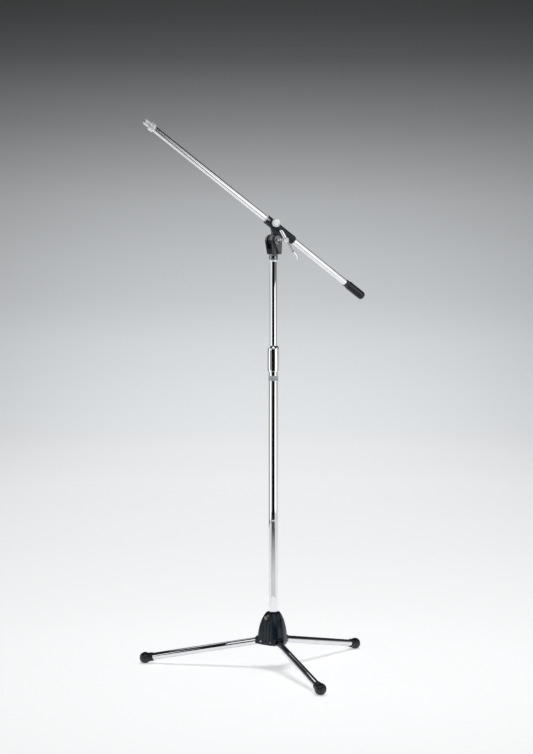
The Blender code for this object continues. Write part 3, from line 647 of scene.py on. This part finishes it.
def threaded(section, pitch, depth, low, high):
    """A shape for lathe that cuts a helical thread into the greatest radius between low and high."""
    crest = max(radius for radius, _ in section)

    def shape(radius, angle, height):
        if radius < crest - 1e-6 or not low < height < high:
            return radius
        fade = min(1.0, (height - low) / pitch, (high - height) / pitch)
        phase = (height / pitch - angle / math.tau) % 1.0
        return radius - depth * fade * abs(2 * phase - 1)

    return shape


def make_mast_top():
    """The chrome flange that closes the upper tube, its plain stud, and the dark lock collar on it."""
    insert = measure("top_insert", MAST)
    lock = measure("lock_collar", MAST)
    upper = measure("upper_tube", MAST)
    stud_r, spigot = lock.inner - GAP, upper.inner - GAP
    flange_low, flange_high = upper.high + GAP, lock.low - GAP
    bead = 0.45 * (flange_high - flange_low)
    section = rounded([
        (0.0, insert.low, 0.0), (spigot, insert.low, 0.0008), (spigot, flange_low, 0.0),
        (insert.outer, flange_low, bead), (insert.outer, flange_high, bead),
        (stud_r, flange_high, 0.0), (stud_r, insert.high, 0.0008), (0.0, insert.high, 0.0)], 5)
    flange = lathe("mast_top_flange", section, MAST)
    place(flange, "upper_mast", "chrome_plate", BRIGHT_CHROME, "top_insert")
    outer, step, line, edge, crisp = lock.outer, 0.0012, 0.0004, 0.0009, 0.0001
    section = rounded(both_ends([
        (lock.inner, lock.low, 0.0), (outer - 0.0003, lock.low, edge),
        (outer - 0.0001, lock.low + 2 * step, crisp), (outer - line, lock.low + 2.3 * step, crisp),
        (outer - line, lock.low + 2.7 * step, crisp), (outer, lock.low + 3 * step, crisp)],
        lock.low, lock.high))
    collar = lathe("mast_lock_collar", section, MAST)
    place(collar, "upper_mast", "black_casting", BLACK_NICKEL, "lock_collar")


def finish_hidden_pieces():
    """Pieces that can't be seen keep their CAD shapes, with finer finishes."""
    finishes = {"tube_end_plug": PLASTIC, "clutch_collar": STEEL, "clutch_collet": PLASTIC,
                "guide_bush": PLASTIC, "hub_bush": PLASTIC, "clamp_insert": BRASS,
                "pressure_pad": BRASS, "knob_screw": STEEL,
                "friction_disc_front": RUBBER, "friction_disc_rear": RUBBER}
    for name, material in finishes.items():
        shown = frame["nodes"][name]
        shown.data.materials.clear()
        shown.data.materials.append(material)


# ---------------------------------------------------------------- tripod hub


def make_hub():
    """The bell casting: a smooth lobe over each leg, a sunk and ribbed panel between, and a lip per leg."""
    span = measure("base_hub", MAST)
    top, bottom = span.high, span.low
    rim, spread, lobe = 0.0152, 0.0230, 0.0040
    first = math.atan2(JOINTS["leg_1_fold"]["pos_m"][1], JOINTS["leg_1_fold"]["pos_m"][0])
    panel_half, panel_edge = math.radians(29.0), math.radians(2.2)
    panel_below_top, panel_above_bottom = 0.0100, 0.0055
    recess, rib, ribs_per_panel = 0.0013, 0.0011, 3

    def bell(radius, angle, height):
        if radius < rim:
            return radius
        fall = max(0.0, (top - height) / (top - bottom))
        out = rim + (spread + lobe * math.cos(3 * (angle - first))) * math.sin(math.pi / 2 * fall**0.7)
        across = (angle - first) % (math.tau / 3) - math.pi / 3
        side = unit((panel_half - abs(across)) / panel_edge)
        high_side = unit((top - panel_below_top - height) / 0.0025)
        low_side = unit((height - bottom - panel_above_bottom) / 0.0020)
        wave = math.cos(math.pi * ribs_per_panel * across / panel_half)
        return out - side * high_side * low_side * (recess - rib * (0.5 + 0.5 * wave) ** 2)

    levels = 90
    section = [(0.0, top)]
    section += [(rim, top - (top - bottom) * (k / levels) ** 1.25) for k in range(levels + 1)]
    section.append((0.0, bottom))
    solids = [lathe("bell", section, MAST, 270, bell)]
    leg_r = measure("leg_tube_1", leg_frame(1)).outer
    for number in LEGS:
        solids.append(leg_block("lip", number, leg_r + 0.0032, (0.030, 0.0465), bottom + 0.0002,
                                0.0128, 0.0022))
    hub = cast("hub_bell_casting", solids, MAST, 0.00075, 3)
    cutters = []
    for number in LEGS:
        cutters.append(leg_block("pocket", number, leg_r + 0.0004, (0.0199, 0.060), bottom - 0.010, 0.0100))
        cutters.append(pin_hole(number))
        cutters.append(core_hole(number, bottom))
    bore, screw_hole = measure("hub_bush", MAST).outer + GAP, 0.0053
    cutters.append(cylinder("bore", bore, bottom - 0.01, top + 0.01, MAST))
    cutters.append(cylinder("screw_hole", screw_hole, 0.010, 0.060, SCREW, PIN_ROUND))
    combine(hub, cutters)
    place(hub, "base", "black_casting", CASTING, "base_hub")
    make_clamp_screw()


def leg_out(number):
    """The level direction out from the mast along a leg."""
    out = Vector(JOINTS[f"leg_{number}_fold"]["pos_m"])
    out.z = 0.0
    return out.normalized()


def leg_block(name, number, lift, reach, floor, half, bevel=0.0):
    """A block over a leg's plane, between two distances from the mast's axis and half to each side. Its roof
    is parallel to the leg and lift above the leg's axis."""
    at = leg_frame(number)
    direction = at.col[2].to_3d()
    flat = math.hypot(direction.x, direction.y)
    slope = direction.z / flat
    start = math.hypot(at.translation.x, at.translation.y)
    roof = [at.translation.z + lift / flat + (out - start) * slope for out in reach]
    outline = [(reach[0], floor), (reach[1], floor), (reach[1], roof[1]), (reach[0], roof[0])]
    out = leg_out(number)
    side = axes_frame((0.0, 0.0, 0.0), out, UP, out.cross(UP))
    return prism(f"{name}_{number}", outline, -half, half, side, bevel, 4)


def pin_hole(number):
    joint = JOINTS[f"leg_{number}_fold"]
    at = along(joint["axis"], joint["pos_m"], UP)
    pin = measure(f"leg_pin_{number}", at)
    hub_side = 0.0405
    return cylinder(f"pin_hole_{number}", pin.outer + GAP, pin.low - GAP, hub_side, at, PIN_ROUND)


def core_hole(number, bottom):
    """A blind hole up from the hub's underside, midway between two legs."""
    radius, from_axis, top = 0.0055, 0.0235, 0.050
    out = leg_out(number)
    at = along(UP, from_axis * (Matrix.Rotation(math.radians(60), 3, "Z") @ out), out)
    return cylinder(f"core_{number}", radius, bottom - 0.01, top, at, PIN_ROUND)


def make_clamp_screw():
    """The thumb screw on the hub: a knurled head with a slightly raised end."""
    span = measure("base_clamp_screw", SCREW)
    shank, neck = 0.0030, 0.0252
    teeth, tooth = 26, 0.00032

    def knurl(radius, angle, height):
        if radius < 0.9 * span.outer or height < neck + 0.0008 or height > span.high - 0.0010:
            return radius
        return radius - tooth * abs(2 * (angle * teeth / math.tau % 1.0) - 1)

    section = subdivided(rounded([
        (0.0, span.low, 0.0), (shank, span.low, 0.0005), (shank, neck, 0.0), (span.outer, neck, 0.0005),
        (span.outer, span.high, 0.0007), (0.0, span.high + 0.0002, 0.0)]), 0.0006)
    screw = lathe("hub_thumb_screw", section, SCREW, 8 * teeth, knurl)
    place(screw, "base_clamp", "chrome_plate", DARK_PLATE_AND_DISH_SHADE, "base_clamp_screw")


# ---------------------------------------------------------------- tilter


def yoke_outline(foot, left, right, head_r):
    """Points round the tilter seen along its hinge: a round head over sides that taper to the foot."""
    corner = 0.0024
    points = [(right - corner, foot)]
    points += arc((right - corner, foot + corner), corner, -90, 0, 6)[1:]
    points += arc((0.0, 0.0), head_r, -6, 186, 72)
    points += arc((left + corner, foot + corner), corner, 180, 270, 6)[:-1]
    points.append((left + corner, foot))
    return points


def make_yoke():
    """The black casting on the mast: two cheeks with a long curved valley in each, and the socket below."""
    low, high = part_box("tilter_yoke")
    foot, head_r = low.z - PIVOT.z, high.z - PIVOT.z
    half_y, foot_half_y = (high.y - low.y) / 2, 0.0190
    corners = [vert.co for vert in frame["nodes"]["tilter_yoke"].data.vertices]
    near_foot = [corner.x for corner in corners if corner.z < low.z + 0.004]
    outline = yoke_outline(foot, min(near_foot), max(near_foot), head_r)
    outline = subdivided(outline, 0.0010, closed=True)
    centre = Vector((0.0, (foot + head_r) / 2))
    rings, edge = 26, 0.0019
    valley_depth, valley_width = 0.0030, 0.0021
    lean_depth, lean_width = 0.0034, 0.0155

    def face_height(x, y):
        drop = unit((head_r - y) / (head_r - foot))
        taper = half_y - drop * drop * (half_y - foot_half_y)
        sink = unit(y / foot)
        valley_at = -0.0112 + 0.0118 * (sink * sink * (3 - 2 * sink))
        away = (x - valley_at) / valley_width
        fade = unit((0.0045 - y) / 0.006)
        valley = valley_depth * math.exp(-away * away) * fade
        lean = lean_depth * unit((valley_at + 0.0010 - x) / lean_width)
        return taper - valley - lean

    verts, faces, rims = [], [], []
    for sign in (1, -1):
        loops = []
        for ring in range(rings + 1):
            start = len(verts)
            for x, y in outline if ring else outline[:1]:
                point = centre + (Vector((x, y)) - centre) * (ring / rings)
                inward = (Vector((x, y)) - point).length
                round_off = edge - math.sqrt(max(0.0, edge * edge - max(0.0, edge - inward) ** 2))
                verts.append((point.x, point.y, sign * (face_height(point.x, point.y) - round_off)))
            loops.append(range(start, len(verts)) if ring else [start] * len(outline))
        faces += [face for inner, outer in zip(loops, loops[1:]) for face in ring_faces(inner, outer)]
        rims.append(loops[-1])
    faces += ring_faces(*rims)
    yoke = cast("tilter_yoke_casting", [add_mesh("yoke_block", verts, faces, HANDLE)], HANDLE, 0.00055, 4)
    disc = measure("friction_disc_front", HANDLE)
    nut = measure("tilt_nut", HANDLE)
    stud = measure("lock_collar", MAST).inner
    gap_half, gap_floor, reach, socket_deep = disc.high + GAP, -0.0230, 0.030, 0.0092
    combine(yoke, [
        block("gap", (-reach, reach), (gap_floor, reach), (-gap_half, gap_half), HANDLE, 0.0012),
        cylinder("bolt_hole", disc.inner, -reach, reach, HANDLE, HOLE_ROUND),
        cylinder("nut_pocket", nut.outer + 0.0004, -reach, nut.high + GAP, HANDLE, HOLE_ROUND),
        cylinder("socket", stud, low.z - 0.01, low.z + socket_deep, MAST, HOLE_ROUND)])
    place(yoke, "upper_mast", "black_casting", TILTER_BLACK, "tilter_yoke")


def hexagonal(across_flats):
    """A shape for lathe that trims a round section to six flats."""
    def shape(radius, angle, height):
        turn = (angle + math.pi / 6) % (math.pi / 3) - math.pi / 6
        return min(radius, across_flats / 2 / math.cos(turn))

    return shape


def make_washer():
    """The dished washer under the bolt's head, bright at its rim, with painted shade dark in its dish."""
    washer = measure("handle_washer", HANDLE)
    dish, rim_low = 0.0228, 0.0234
    rim = washer.outer - 0.0004
    section = rounded([
        (washer.inner, washer.low, 0.0), (0.0058, washer.low, 0.0006), (rim, dish, 0.0003),
        (washer.outer, rim_low, 0.0004), (rim, washer.high, 0.0003), (0.0056, dish, 0.0010),
        (washer.inner, dish, 0.0)], 5)
    dished = lathe("dished_washer", section, HANDLE)
    place(dished, "upper_mast", "chrome_plate", PEARL_PLATE, "handle_washer")
    # The top of the dish inside the rim takes the dark plate as painted shade.
    dished.data.materials.append(DARK_PLATE_AND_DISH_SHADE)
    for face in dished.data.polygons:
        if face.normal.z > 0.0 and math.hypot(face.center.x, face.center.y) < washer.outer - 0.0014:
            face.material_index = 1


def make_tilt_nut():
    nut = measure("tilt_nut", HANDLE)
    chamfer = 0.0007
    section = subdivided(rounded(both_ends([
        (nut.inner, nut.low, 0.0), (nut.outer - chamfer, nut.low, 0.0),
        (nut.outer, nut.low + chamfer * 0.6, 0.0)], nut.low, nut.high)), 0.0008)
    shape = hexagonal(2 * nut.outer * math.cos(math.pi / 6))
    place(lathe("hex_nut", section, HANDLE, 120, shape), "upper_mast", "plated_steel", STEEL, "tilt_nut")


def make_tilt_hardware():
    """The washer, the nut in its pocket, the bolt with its ball head and the bar that slides in the ball."""
    make_washer()
    make_tilt_nut()
    bolt = measure("tilt_bolt", HANDLE)
    bolt_low, bolt_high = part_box("tilt_bolt")
    ball_r = (bolt_high.x - bolt_low.x) / 2
    centre = bolt.high - ball_r
    shank = measure("handle_washer", HANDLE).inner - GAP
    neck, shank_end = shank - 0.0003, 0.0250
    ball_start = 180 - math.degrees(math.asin((neck + 0.0008) / ball_r))
    ball = circle_arc((0.0, centre), ball_r, ball_start, 0.0, 40)
    ball[-1] = (0.0, ball[-1][1])
    section = rounded([(0.0, bolt.low, 0.0), (shank, bolt.low, 0.0006), (shank, shank_end, 0.0003),
                       (neck, shank_end + 0.0006, 0.0), (neck, centre - ball_r - 0.0004, 0.0)]) + ball
    turned_bolt = lathe("ball_headed_bolt", section, HANDLE)
    bar_at = along(JOINTS["bar_slide"]["axis"], HANDLE @ Vector((0.0, 0.0, centre)), (0.0, 1.0, 0.0))
    bar = measure("slide_bar", bar_at)
    combine(turned_bolt, [cylinder("bar_hole", bar.outer + GAP, -0.012, 0.012, bar_at, PIN_ROUND)])
    place(turned_bolt, "tilt_bolt", "chrome_plate", PEARL_PLATE, "tilt_bolt")
    rod = lathe("sliding_bar_rod", rod_section(bar.outer, bar.low, bar.high, 0.0003), bar_at, HOLE_ROUND)
    place(rod, "slide_bar", "chrome_plate", BAR_PLATE, "slide_bar")
    for name in ("upper", "lower"):
        make_bar_cap(name, bar_at, bar.outer)


def make_bar_cap(name, at, bar_r):
    """A turned end on the sliding bar, with two waist lines."""
    span = measure(f"bar_cap_{name}", at)
    sign = 1 if name == "upper" else -1
    start, end = (span.low, span.high) if sign > 0 else (-span.high, -span.low)
    radius, line = span.outer, 0.0003
    waist, bore, bore_deep = radius - line, bar_r + SNUG, 0.0155
    section = rounded([
        (0.0, end, 0.0), (radius - 0.0022, end, 0.0012), (radius, end - 0.0026, 0.0016),
        (radius, end - 0.0050, 0.0), (waist, end - 0.0053, 0.0), (waist, end - 0.0057, 0.0),
        (radius, end - 0.0060, 0.0), (radius, start + 0.0046, 0.0), (waist, start + 0.0043, 0.0),
        (waist, start + 0.0039, 0.0), (radius, start + 0.0036, 0.0), (radius, start, 0.0009),
        (bore, start, 0.0002), (bore, start + bore_deep, 0.0), (0.0, start + bore_deep, 0.0)], 6)
    cap = lathe(f"bar_end_{name}", [(r, sign * z) for r, z in section], at, 72)
    place(cap, "slide_bar", "chrome_plate", BRIGHT_CHROME, f"bar_cap_{name}")


# ---------------------------------------------------------------- boom


def lug_outline(drop):
    """Points round the clamp's lug: an eye this far below the boom, and a neck that flares to the sleeve."""
    eye, flare = 0.0130, 0.0215
    neck, flare_run, sleeve_side = -0.0235, 0.0110, -0.0060
    side = []
    for step in range(13):
        turn = math.radians(90 * step / 12)
        side.append((neck + flare_run * math.sin(turn), -eye - (flare - eye) * (1 - math.cos(turn))))
    side.append((sleeve_side, -flare))
    return arc((-drop, 0.0), eye, 90, 270, 40) + side + [(x, -y) for x, y in side[::-1]]


def make_boom_clamp():
    """The sleeve round the boom, its flared lug, the knob's boss and the notched open end."""
    sleeve_end = measure("boom_clamp", BOOM).high
    radius, lug_half = 0.01175, 0.0074
    section = rounded([
        (0.0, -sleeve_end, 0.0), (radius, -sleeve_end, 0.0032), (radius, -sleeve_end + 0.012, 0.0),
        (radius, sleeve_end, 0.0011), (0.0, sleeve_end, 0.0)], 8)
    to_boom = BOOM.translation - PIVOT
    roll_axis = Vector(JOINTS["boom_roll"]["axis"])
    tilt_axis = Vector(JOINTS["boom_tilt"]["axis"])
    lug_at = axes_frame(BOOM.translation, to_boom.normalized(), roll_axis, tilt_axis)
    boss_end = measure("boom_knob", KNOB).low - GAP
    boss = rounded([(0.0, 0.002, 0.0), (0.0072, 0.002, 0.0), (0.0066, boss_end, 0.0008),
                    (0.0, boss_end, 0.0)])
    clamp = cast("boom_clamp_casting", [
        lathe("sleeve", subdivided(section, 0.003), BOOM),
        prism("lug", lug_outline(to_boom.length), -lug_half, lug_half, lug_at, 0.0016),
        lathe("boss", boss, KNOB, HOLE_ROUND)], BOOM, 0.00055, 5)
    front = along(roll_axis, BOOM.translation, (0.0, -1.0, 0.0))
    notch_half, notch_from = 0.0036, sleeve_end - 0.0105
    bolt_r = measure("friction_disc_front", HANDLE).inner
    pad, screw = measure("pressure_pad", KNOB), measure("knob_screw", KNOB)
    pad_r, pad_high, screw_r = pad.outer + GAP, pad.high + GAP, screw.outer + GAP
    steps = [(0.0, 0.0), (pad_r, 0.0), (pad_r, pad_high), (screw_r, pad_high), (screw_r, 0.03), (0.0, 0.03)]
    for cutter in (
            cylinder("bore", measure("boom_liner", BOOM).inner + 0.0012, -0.08, 0.08, BOOM),
            block("notch", (0.0, 0.030), (-notch_half, notch_half), (notch_from, 0.080), front),
            cylinder("eye_hole", bolt_r, -0.03, 0.03, HANDLE, HOLE_ROUND),
            lathe("screw_bore", steps, KNOB, HOLE_ROUND)):
        combine(clamp, [cutter])
    place(clamp, "boom_clamp", "black_casting", CASTING, "boom_clamp")


def make_boom_knob():
    """A pale plated drum with a dished face and a rolled rim."""
    span = measure("boom_knob", KNOB)
    screw = measure("knob_screw", KNOB)
    drum_low, face = span.high - 0.0080, span.high - 0.0001
    neck_r, bore_r, bottom = 0.0062, screw.outer + GAP, screw.high + GAP
    section = rounded([
        (0.0, face, 0.0), (span.outer - 0.0034, face, 0.0016), (span.outer - 0.0026, span.high, 0.0004),
        (span.outer, span.high, 0.0020), (span.outer, drum_low, 0.0013), (neck_r, drum_low - 0.0006, 0.0006),
        (neck_r, span.low, 0.0004), (bore_r, span.low, 0.0), (bore_r, bottom, 0.0), (0.0, bottom, 0.0)], 7)
    knob = lathe("polished_boom_knob", section, KNOB, FINE_ROUND)
    place(knob, "boom_knob", "chrome_plate", PEARL_PLATE, "boom_knob")


def make_liner():
    """The pale nylon liner between the clamp and the boom, slit along one side."""
    span = measure("boom_liner", BOOM)
    outer, lip, slit_half = 0.0092, measure("boom_clamp", BOOM).high + GAP, 0.0008
    section = rounded([
        (span.inner, span.low, 0.0002), (outer, span.low, 0.0003), (outer, lip, 0.0),
        (span.outer, lip, 0.0003), (span.outer, span.high, 0.0006), (span.inner, span.high, 0.0003)])
    liner = lathe("split_nylon_liner", section, BOOM)
    combine(liner, [block("slit", (0.0, 0.02), (-slit_half, slit_half), (-0.08, 0.08), BOOM_SIDE)])
    place(liner, "boom_liner", "pale_plastic", PALE, "boom_liner")


def make_grip():
    """The rubber hand grip: a smooth collar, then plain strips and cross-ribbed panels to a round end."""
    span = measure("boom_grip", BOOM)
    boom = measure("boom_tube", BOOM)
    end, mouth, radius = span.low, span.high, span.outer
    socket, tube_end = boom.outer + SNUG, boom.low - SNUG
    collar, dome, body_top = 0.0096, 0.0078, mouth - 0.0118
    sectors, pitch, depth, groove_half = 8, 0.0030, 0.0009, 0.00060
    wide = math.tau / sectors

    def moulded(reach, angle, height):
        if reach < radius - 0.0012 and height > end + dome:
            return reach
        share = unit(min((height - end - 0.0030) / 0.004, (body_top - height) / 0.0012))
        turn = (angle + wide / 2) % wide - wide / 2
        number = int(((angle + wide / 2) % math.tau) // wide)
        from_edge = (wide / 2 - abs(turn)) * radius
        groove = depth * math.exp(-((from_edge / groove_half) ** 2))
        ribs = 0.0
        if number % 2:
            inside = unit((from_edge - 0.0009) / 0.0008)
            ribs = depth * inside * (0.5 - 0.5 * math.cos(math.tau * height / pitch))
        return reach - share * (groove + ribs)

    outer = circle_arc((radius - dome, end + dome), dome, 180.0, 90.0, 14)
    section = [(0.0, end)] + [point for point in outer if point[0] > 0.0]
    section += rounded([(radius, end + dome + 0.0002, 0.0), (radius, body_top, 0.0006),
                        (collar + 0.0002, body_top + 0.0014, 0.0006), (collar, mouth, 0.0007),
                        (socket, mouth, 0.0002), (socket, tube_end, 0.0), (0.0, tube_end, 0.0)])
    grip = lathe("rubber_hand_grip", subdivided(section, 0.00042), BOOM, 192, moulded)
    place(grip, "boom", "black_rubber", RUBBER, "boom_grip")


def make_tip():
    """The microphone end: a plated flange with a waist line, and a hollow, slotted stud with a 27 per inch
    thread."""
    span = measure("tip_adapter", BOOM)
    boom = measure("boom_tube", BOOM)
    stud_r, bore_r, bore_deep = 0.0079, 0.0046, 0.0150
    low, high = boom.high + GAP, boom.high + 0.0128
    spigot, waist, core = boom.inner - GAP, span.outer - 0.0005, stud_r - 0.0009
    section = rounded([
        (0.0, span.low, 0.0), (spigot, span.low, 0.0006), (spigot, low, 0.0), (span.outer, low, 0.0016),
        (span.outer, low + 0.0040, 0.0), (waist, low + 0.0044, 0.0), (waist, low + 0.0052, 0.0),
        (span.outer, low + 0.0056, 0.0), (span.outer, high, 0.0020), (core, high, 0.0),
        (core, high + 0.0008, 0.0)])
    base = lathe("tip_base", section + [(0.0, high + 0.0008)], BOOM)
    pitch, depth, end_edge = 0.0254 / 27, 0.00058, 0.0006
    stud_low, steps_per_turn = high + 0.0004, 9
    steps = math.ceil((span.high - stud_low - end_edge) / (pitch / steps_per_turn))
    thread = [(bore_r, stud_low), (stud_r, stud_low)]
    rise = span.high - end_edge - stud_low
    thread += [(stud_r, stud_low + rise * k / steps) for k in range(1, steps + 1)]
    thread += [(stud_r - end_edge, span.high), (bore_r + 0.0003, span.high), (bore_r, span.high - 0.0003)]
    shape = threaded(thread, pitch, depth, stud_low + 0.0002, span.high - 0.0007)
    stud = lathe("threaded_tip_stud", thread, BOOM, 120, shape)
    slot_half, slot_deep = 0.0012, 0.0030
    above = span.high + 0.01
    slot = block("slot", (-0.02, 0.02), (-slot_half, slot_half), (span.high - slot_deep, above), BOOM_SIDE)
    combine(stud, [slot])
    combine(base, [cylinder("well", bore_r, span.high - bore_deep, above, BOOM)])
    place(base, "boom", "chrome_plate", PEARL_PLATE, "tip_adapter")
    place(stud, "boom", "chrome_plate", PEARL_PLATE)


def make_boom():
    tube("boom_chrome_tube", "boom_tube", BOOM, "boom", TUBE_CHROME)
    make_grip()
    make_tip()
    make_liner()
    make_boom_clamp()
    make_boom_knob()


# ---------------------------------------------------------------- studio


def toward(turn, elevation=0.0):
    """The direction turn degrees to the right of the camera, as seen from the stand facing the camera."""
    flat = math.radians(CAMERA_AZIMUTH + turn)
    rise = math.radians(elevation)
    return Vector((math.sin(flat) * math.cos(rise), -math.cos(flat) * math.cos(rise), math.sin(rise)))


def softbox(name, turn, distance, low, high, width, radiance, elevation=0.0, reflected=True, lights=True):
    """A rectangular light between two heights above the floor, facing the stand, or raised by elevation.
    Reflections see it if reflected, and it lights matt surfaces if lights."""
    height = high - low
    light = bpy.data.lights.new(name, "AREA")
    light.shape = "RECTANGLE"
    light.size, light.size_y = width, height
    light.energy = radiance * math.pi * width * height
    obj = bpy.data.objects.new(name, light)
    bpy.context.scene.collection.objects.link(obj)
    aim = Vector((0.0, 0.0, FLOOR + (low + high) / 2))
    obj.location = aim + toward(turn, elevation) * distance
    obj.rotation_euler = (aim - obj.location).to_track_quat("-Z", "Y").to_euler()
    obj.visible_camera = False
    obj.visible_glossy = reflected
    obj.visible_diffuse = lights


def fan_width(distance, turn):
    """The width of a card that spans this many degrees at a distance."""
    return 2 * distance * math.tan(math.radians(turn) / 2)


def reflected_card(name, rows, glow, far_glow=None, fade=(0.0, 1.0)):
    """A curved card that only reflections see. A row is (distance, height, left turn, right turn). The glow
    may change to far_glow between the two distances of fade."""
    columns = 24
    verts, faces = [], []
    for distance, height, left, right in rows:
        for k in range(columns + 1):
            spot = toward(left + (right - left) * k / columns) * distance
            verts.append((spot.x, spot.y, FLOOR + height))
    wide = columns + 1
    for row in range(len(rows) - 1):
        for k in range(columns):
            start = row * wide + k
            faces.append([start, start + 1, start + 1 + wide, start + wide])
    card = add_mesh(name, verts, faces, Matrix.Identity(4))
    material, tree, shader = new_material(f"{name}_cloth", (0.0, 0.0, 0.0), 0.0, 1.0)
    shader.inputs["Specular IOR Level"].default_value = 0.0
    flat = vector_maths(tree, "MULTIPLY", own_place(tree), LEVEL).outputs["Vector"]
    length = vector_maths(tree, "LENGTH", flat).outputs["Value"]
    strength = remap(tree, length, *fade, glow, glow if far_glow is None else far_glow)
    shader.inputs["Emission Color"].default_value = CARD_TINT
    tree.links.new(strength, shader.inputs["Emission Strength"])
    card.data.materials.append(material)
    card.visible_camera = False
    card.visible_diffuse = False
    card.visible_shadow = False
    card.visible_transmission = False


def make_cards():
    """What the chrome sees: a floor that falls away before the camera, a dark gap over it, a gap at the left,
    and two cards behind, one low at the left and one close to the tilter."""
    rows = [(0.70, 0.006, -60.0, 56.0), (1.10, 0.006, -60.0, 52.0), (1.60, 0.006, -55.0, 46.0),
            (2.20, 0.006, -48.0, 40.0), (2.58, 0.006, -43.0, 34.0)]
    reflected_card("camera_floor", rows, 0.68, 0.09, (1.05, 2.25))
    for name, distance, low, high, left, right, glow in (
            ("camera_gap", 2.60, 0.010, 1.550, -42.0, 33.0, 0.006),
            ("left_gap", 2.50, 0.006, 2.400, -60.0, -49.0, 0.01),
            ("left_back_card", 2.60, 0.006, 1.120, -164.0, -100.0, 0.15),
            ("tilter_back_card", 0.90, 1.125, 1.650, -165.0, -112.0, 1.25)):
        reflected_card(name, [(distance, low, left, right), (distance, high, left, right)], glow)


def make_sweep():
    """One seamless pale sheet: a floor that bends up into a wall all the way round."""
    section = [(radius, FLOOR) for radius in (0.0, 0.6, 1.5, 3.0, 5.0)]
    for degrees in range(0, 91, 6):
        bend = math.radians(degrees)
        section.append((SWEEP_RADIUS - SWEEP_BEND + SWEEP_BEND * math.sin(bend),
                        FLOOR + (SWEEP_BEND - SWEEP_BEND * math.cos(bend))))
    section.append((SWEEP_RADIUS, FLOOR + SWEEP_TOP))
    sweep = lathe("studio_sweep", section, Matrix.Identity(4), SWEEP_ROUND)
    sweep.data.flip_normals()
    shade(sweep, 80)
    sweep.data.materials.append(sweep_material())


def sweep_material():
    """Pale paper with a painted glow that changes out over the floor and up the wall, and falls off to each
    side.
    """
    material, tree, shader = new_material("studio_paper", (0.8, 0.8, 0.8), 0.0, 0.8)
    shader.inputs["Specular IOR Level"].default_value = 0.0
    place_on = own_place(tree)
    split = node(tree, "ShaderNodeSeparateXYZ")
    tree.links.new(place_on, split.inputs["Vector"])
    flat = vector_maths(tree, "MULTIPLY", place_on, LEVEL).outputs["Vector"]
    radius = vector_maths(tree, "LENGTH", flat).outputs["Value"]
    length = SWEEP_RADIUS + PAPER_RISE
    along_sheet = remap(tree, maths(tree, "ADD", radius, split.outputs["Z"]), FLOOR, FLOOR + length, 0.0, 1.0)
    ramp = node(tree, "ShaderNodeValToRGB")
    tree.links.new(along_sheet, ramp.inputs["Fac"])
    ramp.color_ramp.interpolation = "LINEAR"
    elements = ramp.color_ramp.elements
    elements.remove(elements[-1])
    for k, (place_at, value) in enumerate(PAPER_GLOW):
        element = elements[0] if k == 0 else elements.new(place_at / length)
        element.position = place_at / length
        tint = WALL_TINT if place_at > SWEEP_RADIUS - SWEEP_BEND else FLOOR_TINT
        element.color = (*(value * part for part in tint), 1.0)
    across = vector_maths(tree, "DOT_PRODUCT", flat, toward(90.0)).outputs["Value"]
    pool = remap(tree, maths(tree, "MULTIPLY", across, across), 0.0, PAPER_POOL * PAPER_POOL, 1.0, PAPER_EDGE)
    tree.links.new(ramp.outputs["Color"], shader.inputs["Emission Color"])
    tree.links.new(pool, shader.inputs["Emission Strength"])
    # Painted shade: the paper's colour goes dark up the wall, so the lamps leave it dim there.
    paper_painted_dark_up_wall = two_tone(tree, along_sheet, (0.80, 0.80, 0.80), (0.05, 0.05, 0.05), 0.55, 0.85)
    tree.links.new(paper_painted_dark_up_wall, shader.inputs["Base Color"])
    return material


def make_studio():
    make_sweep()
    make_cards()
    softbox("right_card", 51.5, 2.9, 0.02, 1.30, fan_width(2.9, 41.0), 1.16, lights=False)
    softbox("right_high_card", 86.5, 2.6, 1.50, 3.00, fan_width(2.6, 49.0), 1.14)
    softbox("left_near_card", -44.5, 2.9, 0.02, 2.10, fan_width(2.9, 11.0), 1.14, lights=False)
    softbox("left_card", -80.0, 2.6, 0.02, 2.10, fan_width(2.6, 38.0), 1.14, lights=False)
    softbox("front_top", 0.0, 3.4, -1.30, 1.50, 3.4, 1.15, 45.0, lights=False)
    softbox("overhead", 0.0, 4.2, -0.9, 0.9, 1.8, 8.5, 89.0, reflected=False)
    world = bpy.data.worlds.new("studio_dark")
    world.use_nodes = True
    world.node_tree.nodes["Background"].inputs["Color"].default_value = WORLD_DARK
    bpy.context.scene.world = world


def make_camera():
    camera = bpy.data.cameras.new("camera")
    camera.sensor_width = SENSOR
    long_side = max(IMAGE_SIZE)
    camera.lens = FOCAL_PIXELS * SENSOR / long_side
    camera.shift_x = -MAST_RIGHT_OF_CENTRE / long_side
    camera.shift_y = -HORIZON_ABOVE_CENTRE / long_side
    obj = bpy.data.objects.new("camera", camera)
    bpy.context.scene.collection.objects.link(obj)
    obj.location = toward(0.0) * CAMERA_DISTANCE + Vector((0.0, 0.0, FLOOR + CAMERA_HEIGHT))
    obj.rotation_euler = (math.radians(90), 0.0, math.radians(CAMERA_AZIMUTH))
    bpy.context.scene.camera = obj
    bpy.context.scene.view_settings.view_transform = "Standard"


def main():
    make_camera()
    make_studio()
    make_legs()
    make_mast()
    make_hub()
    make_yoke()
    make_tilt_hardware()
    make_boom()


main()
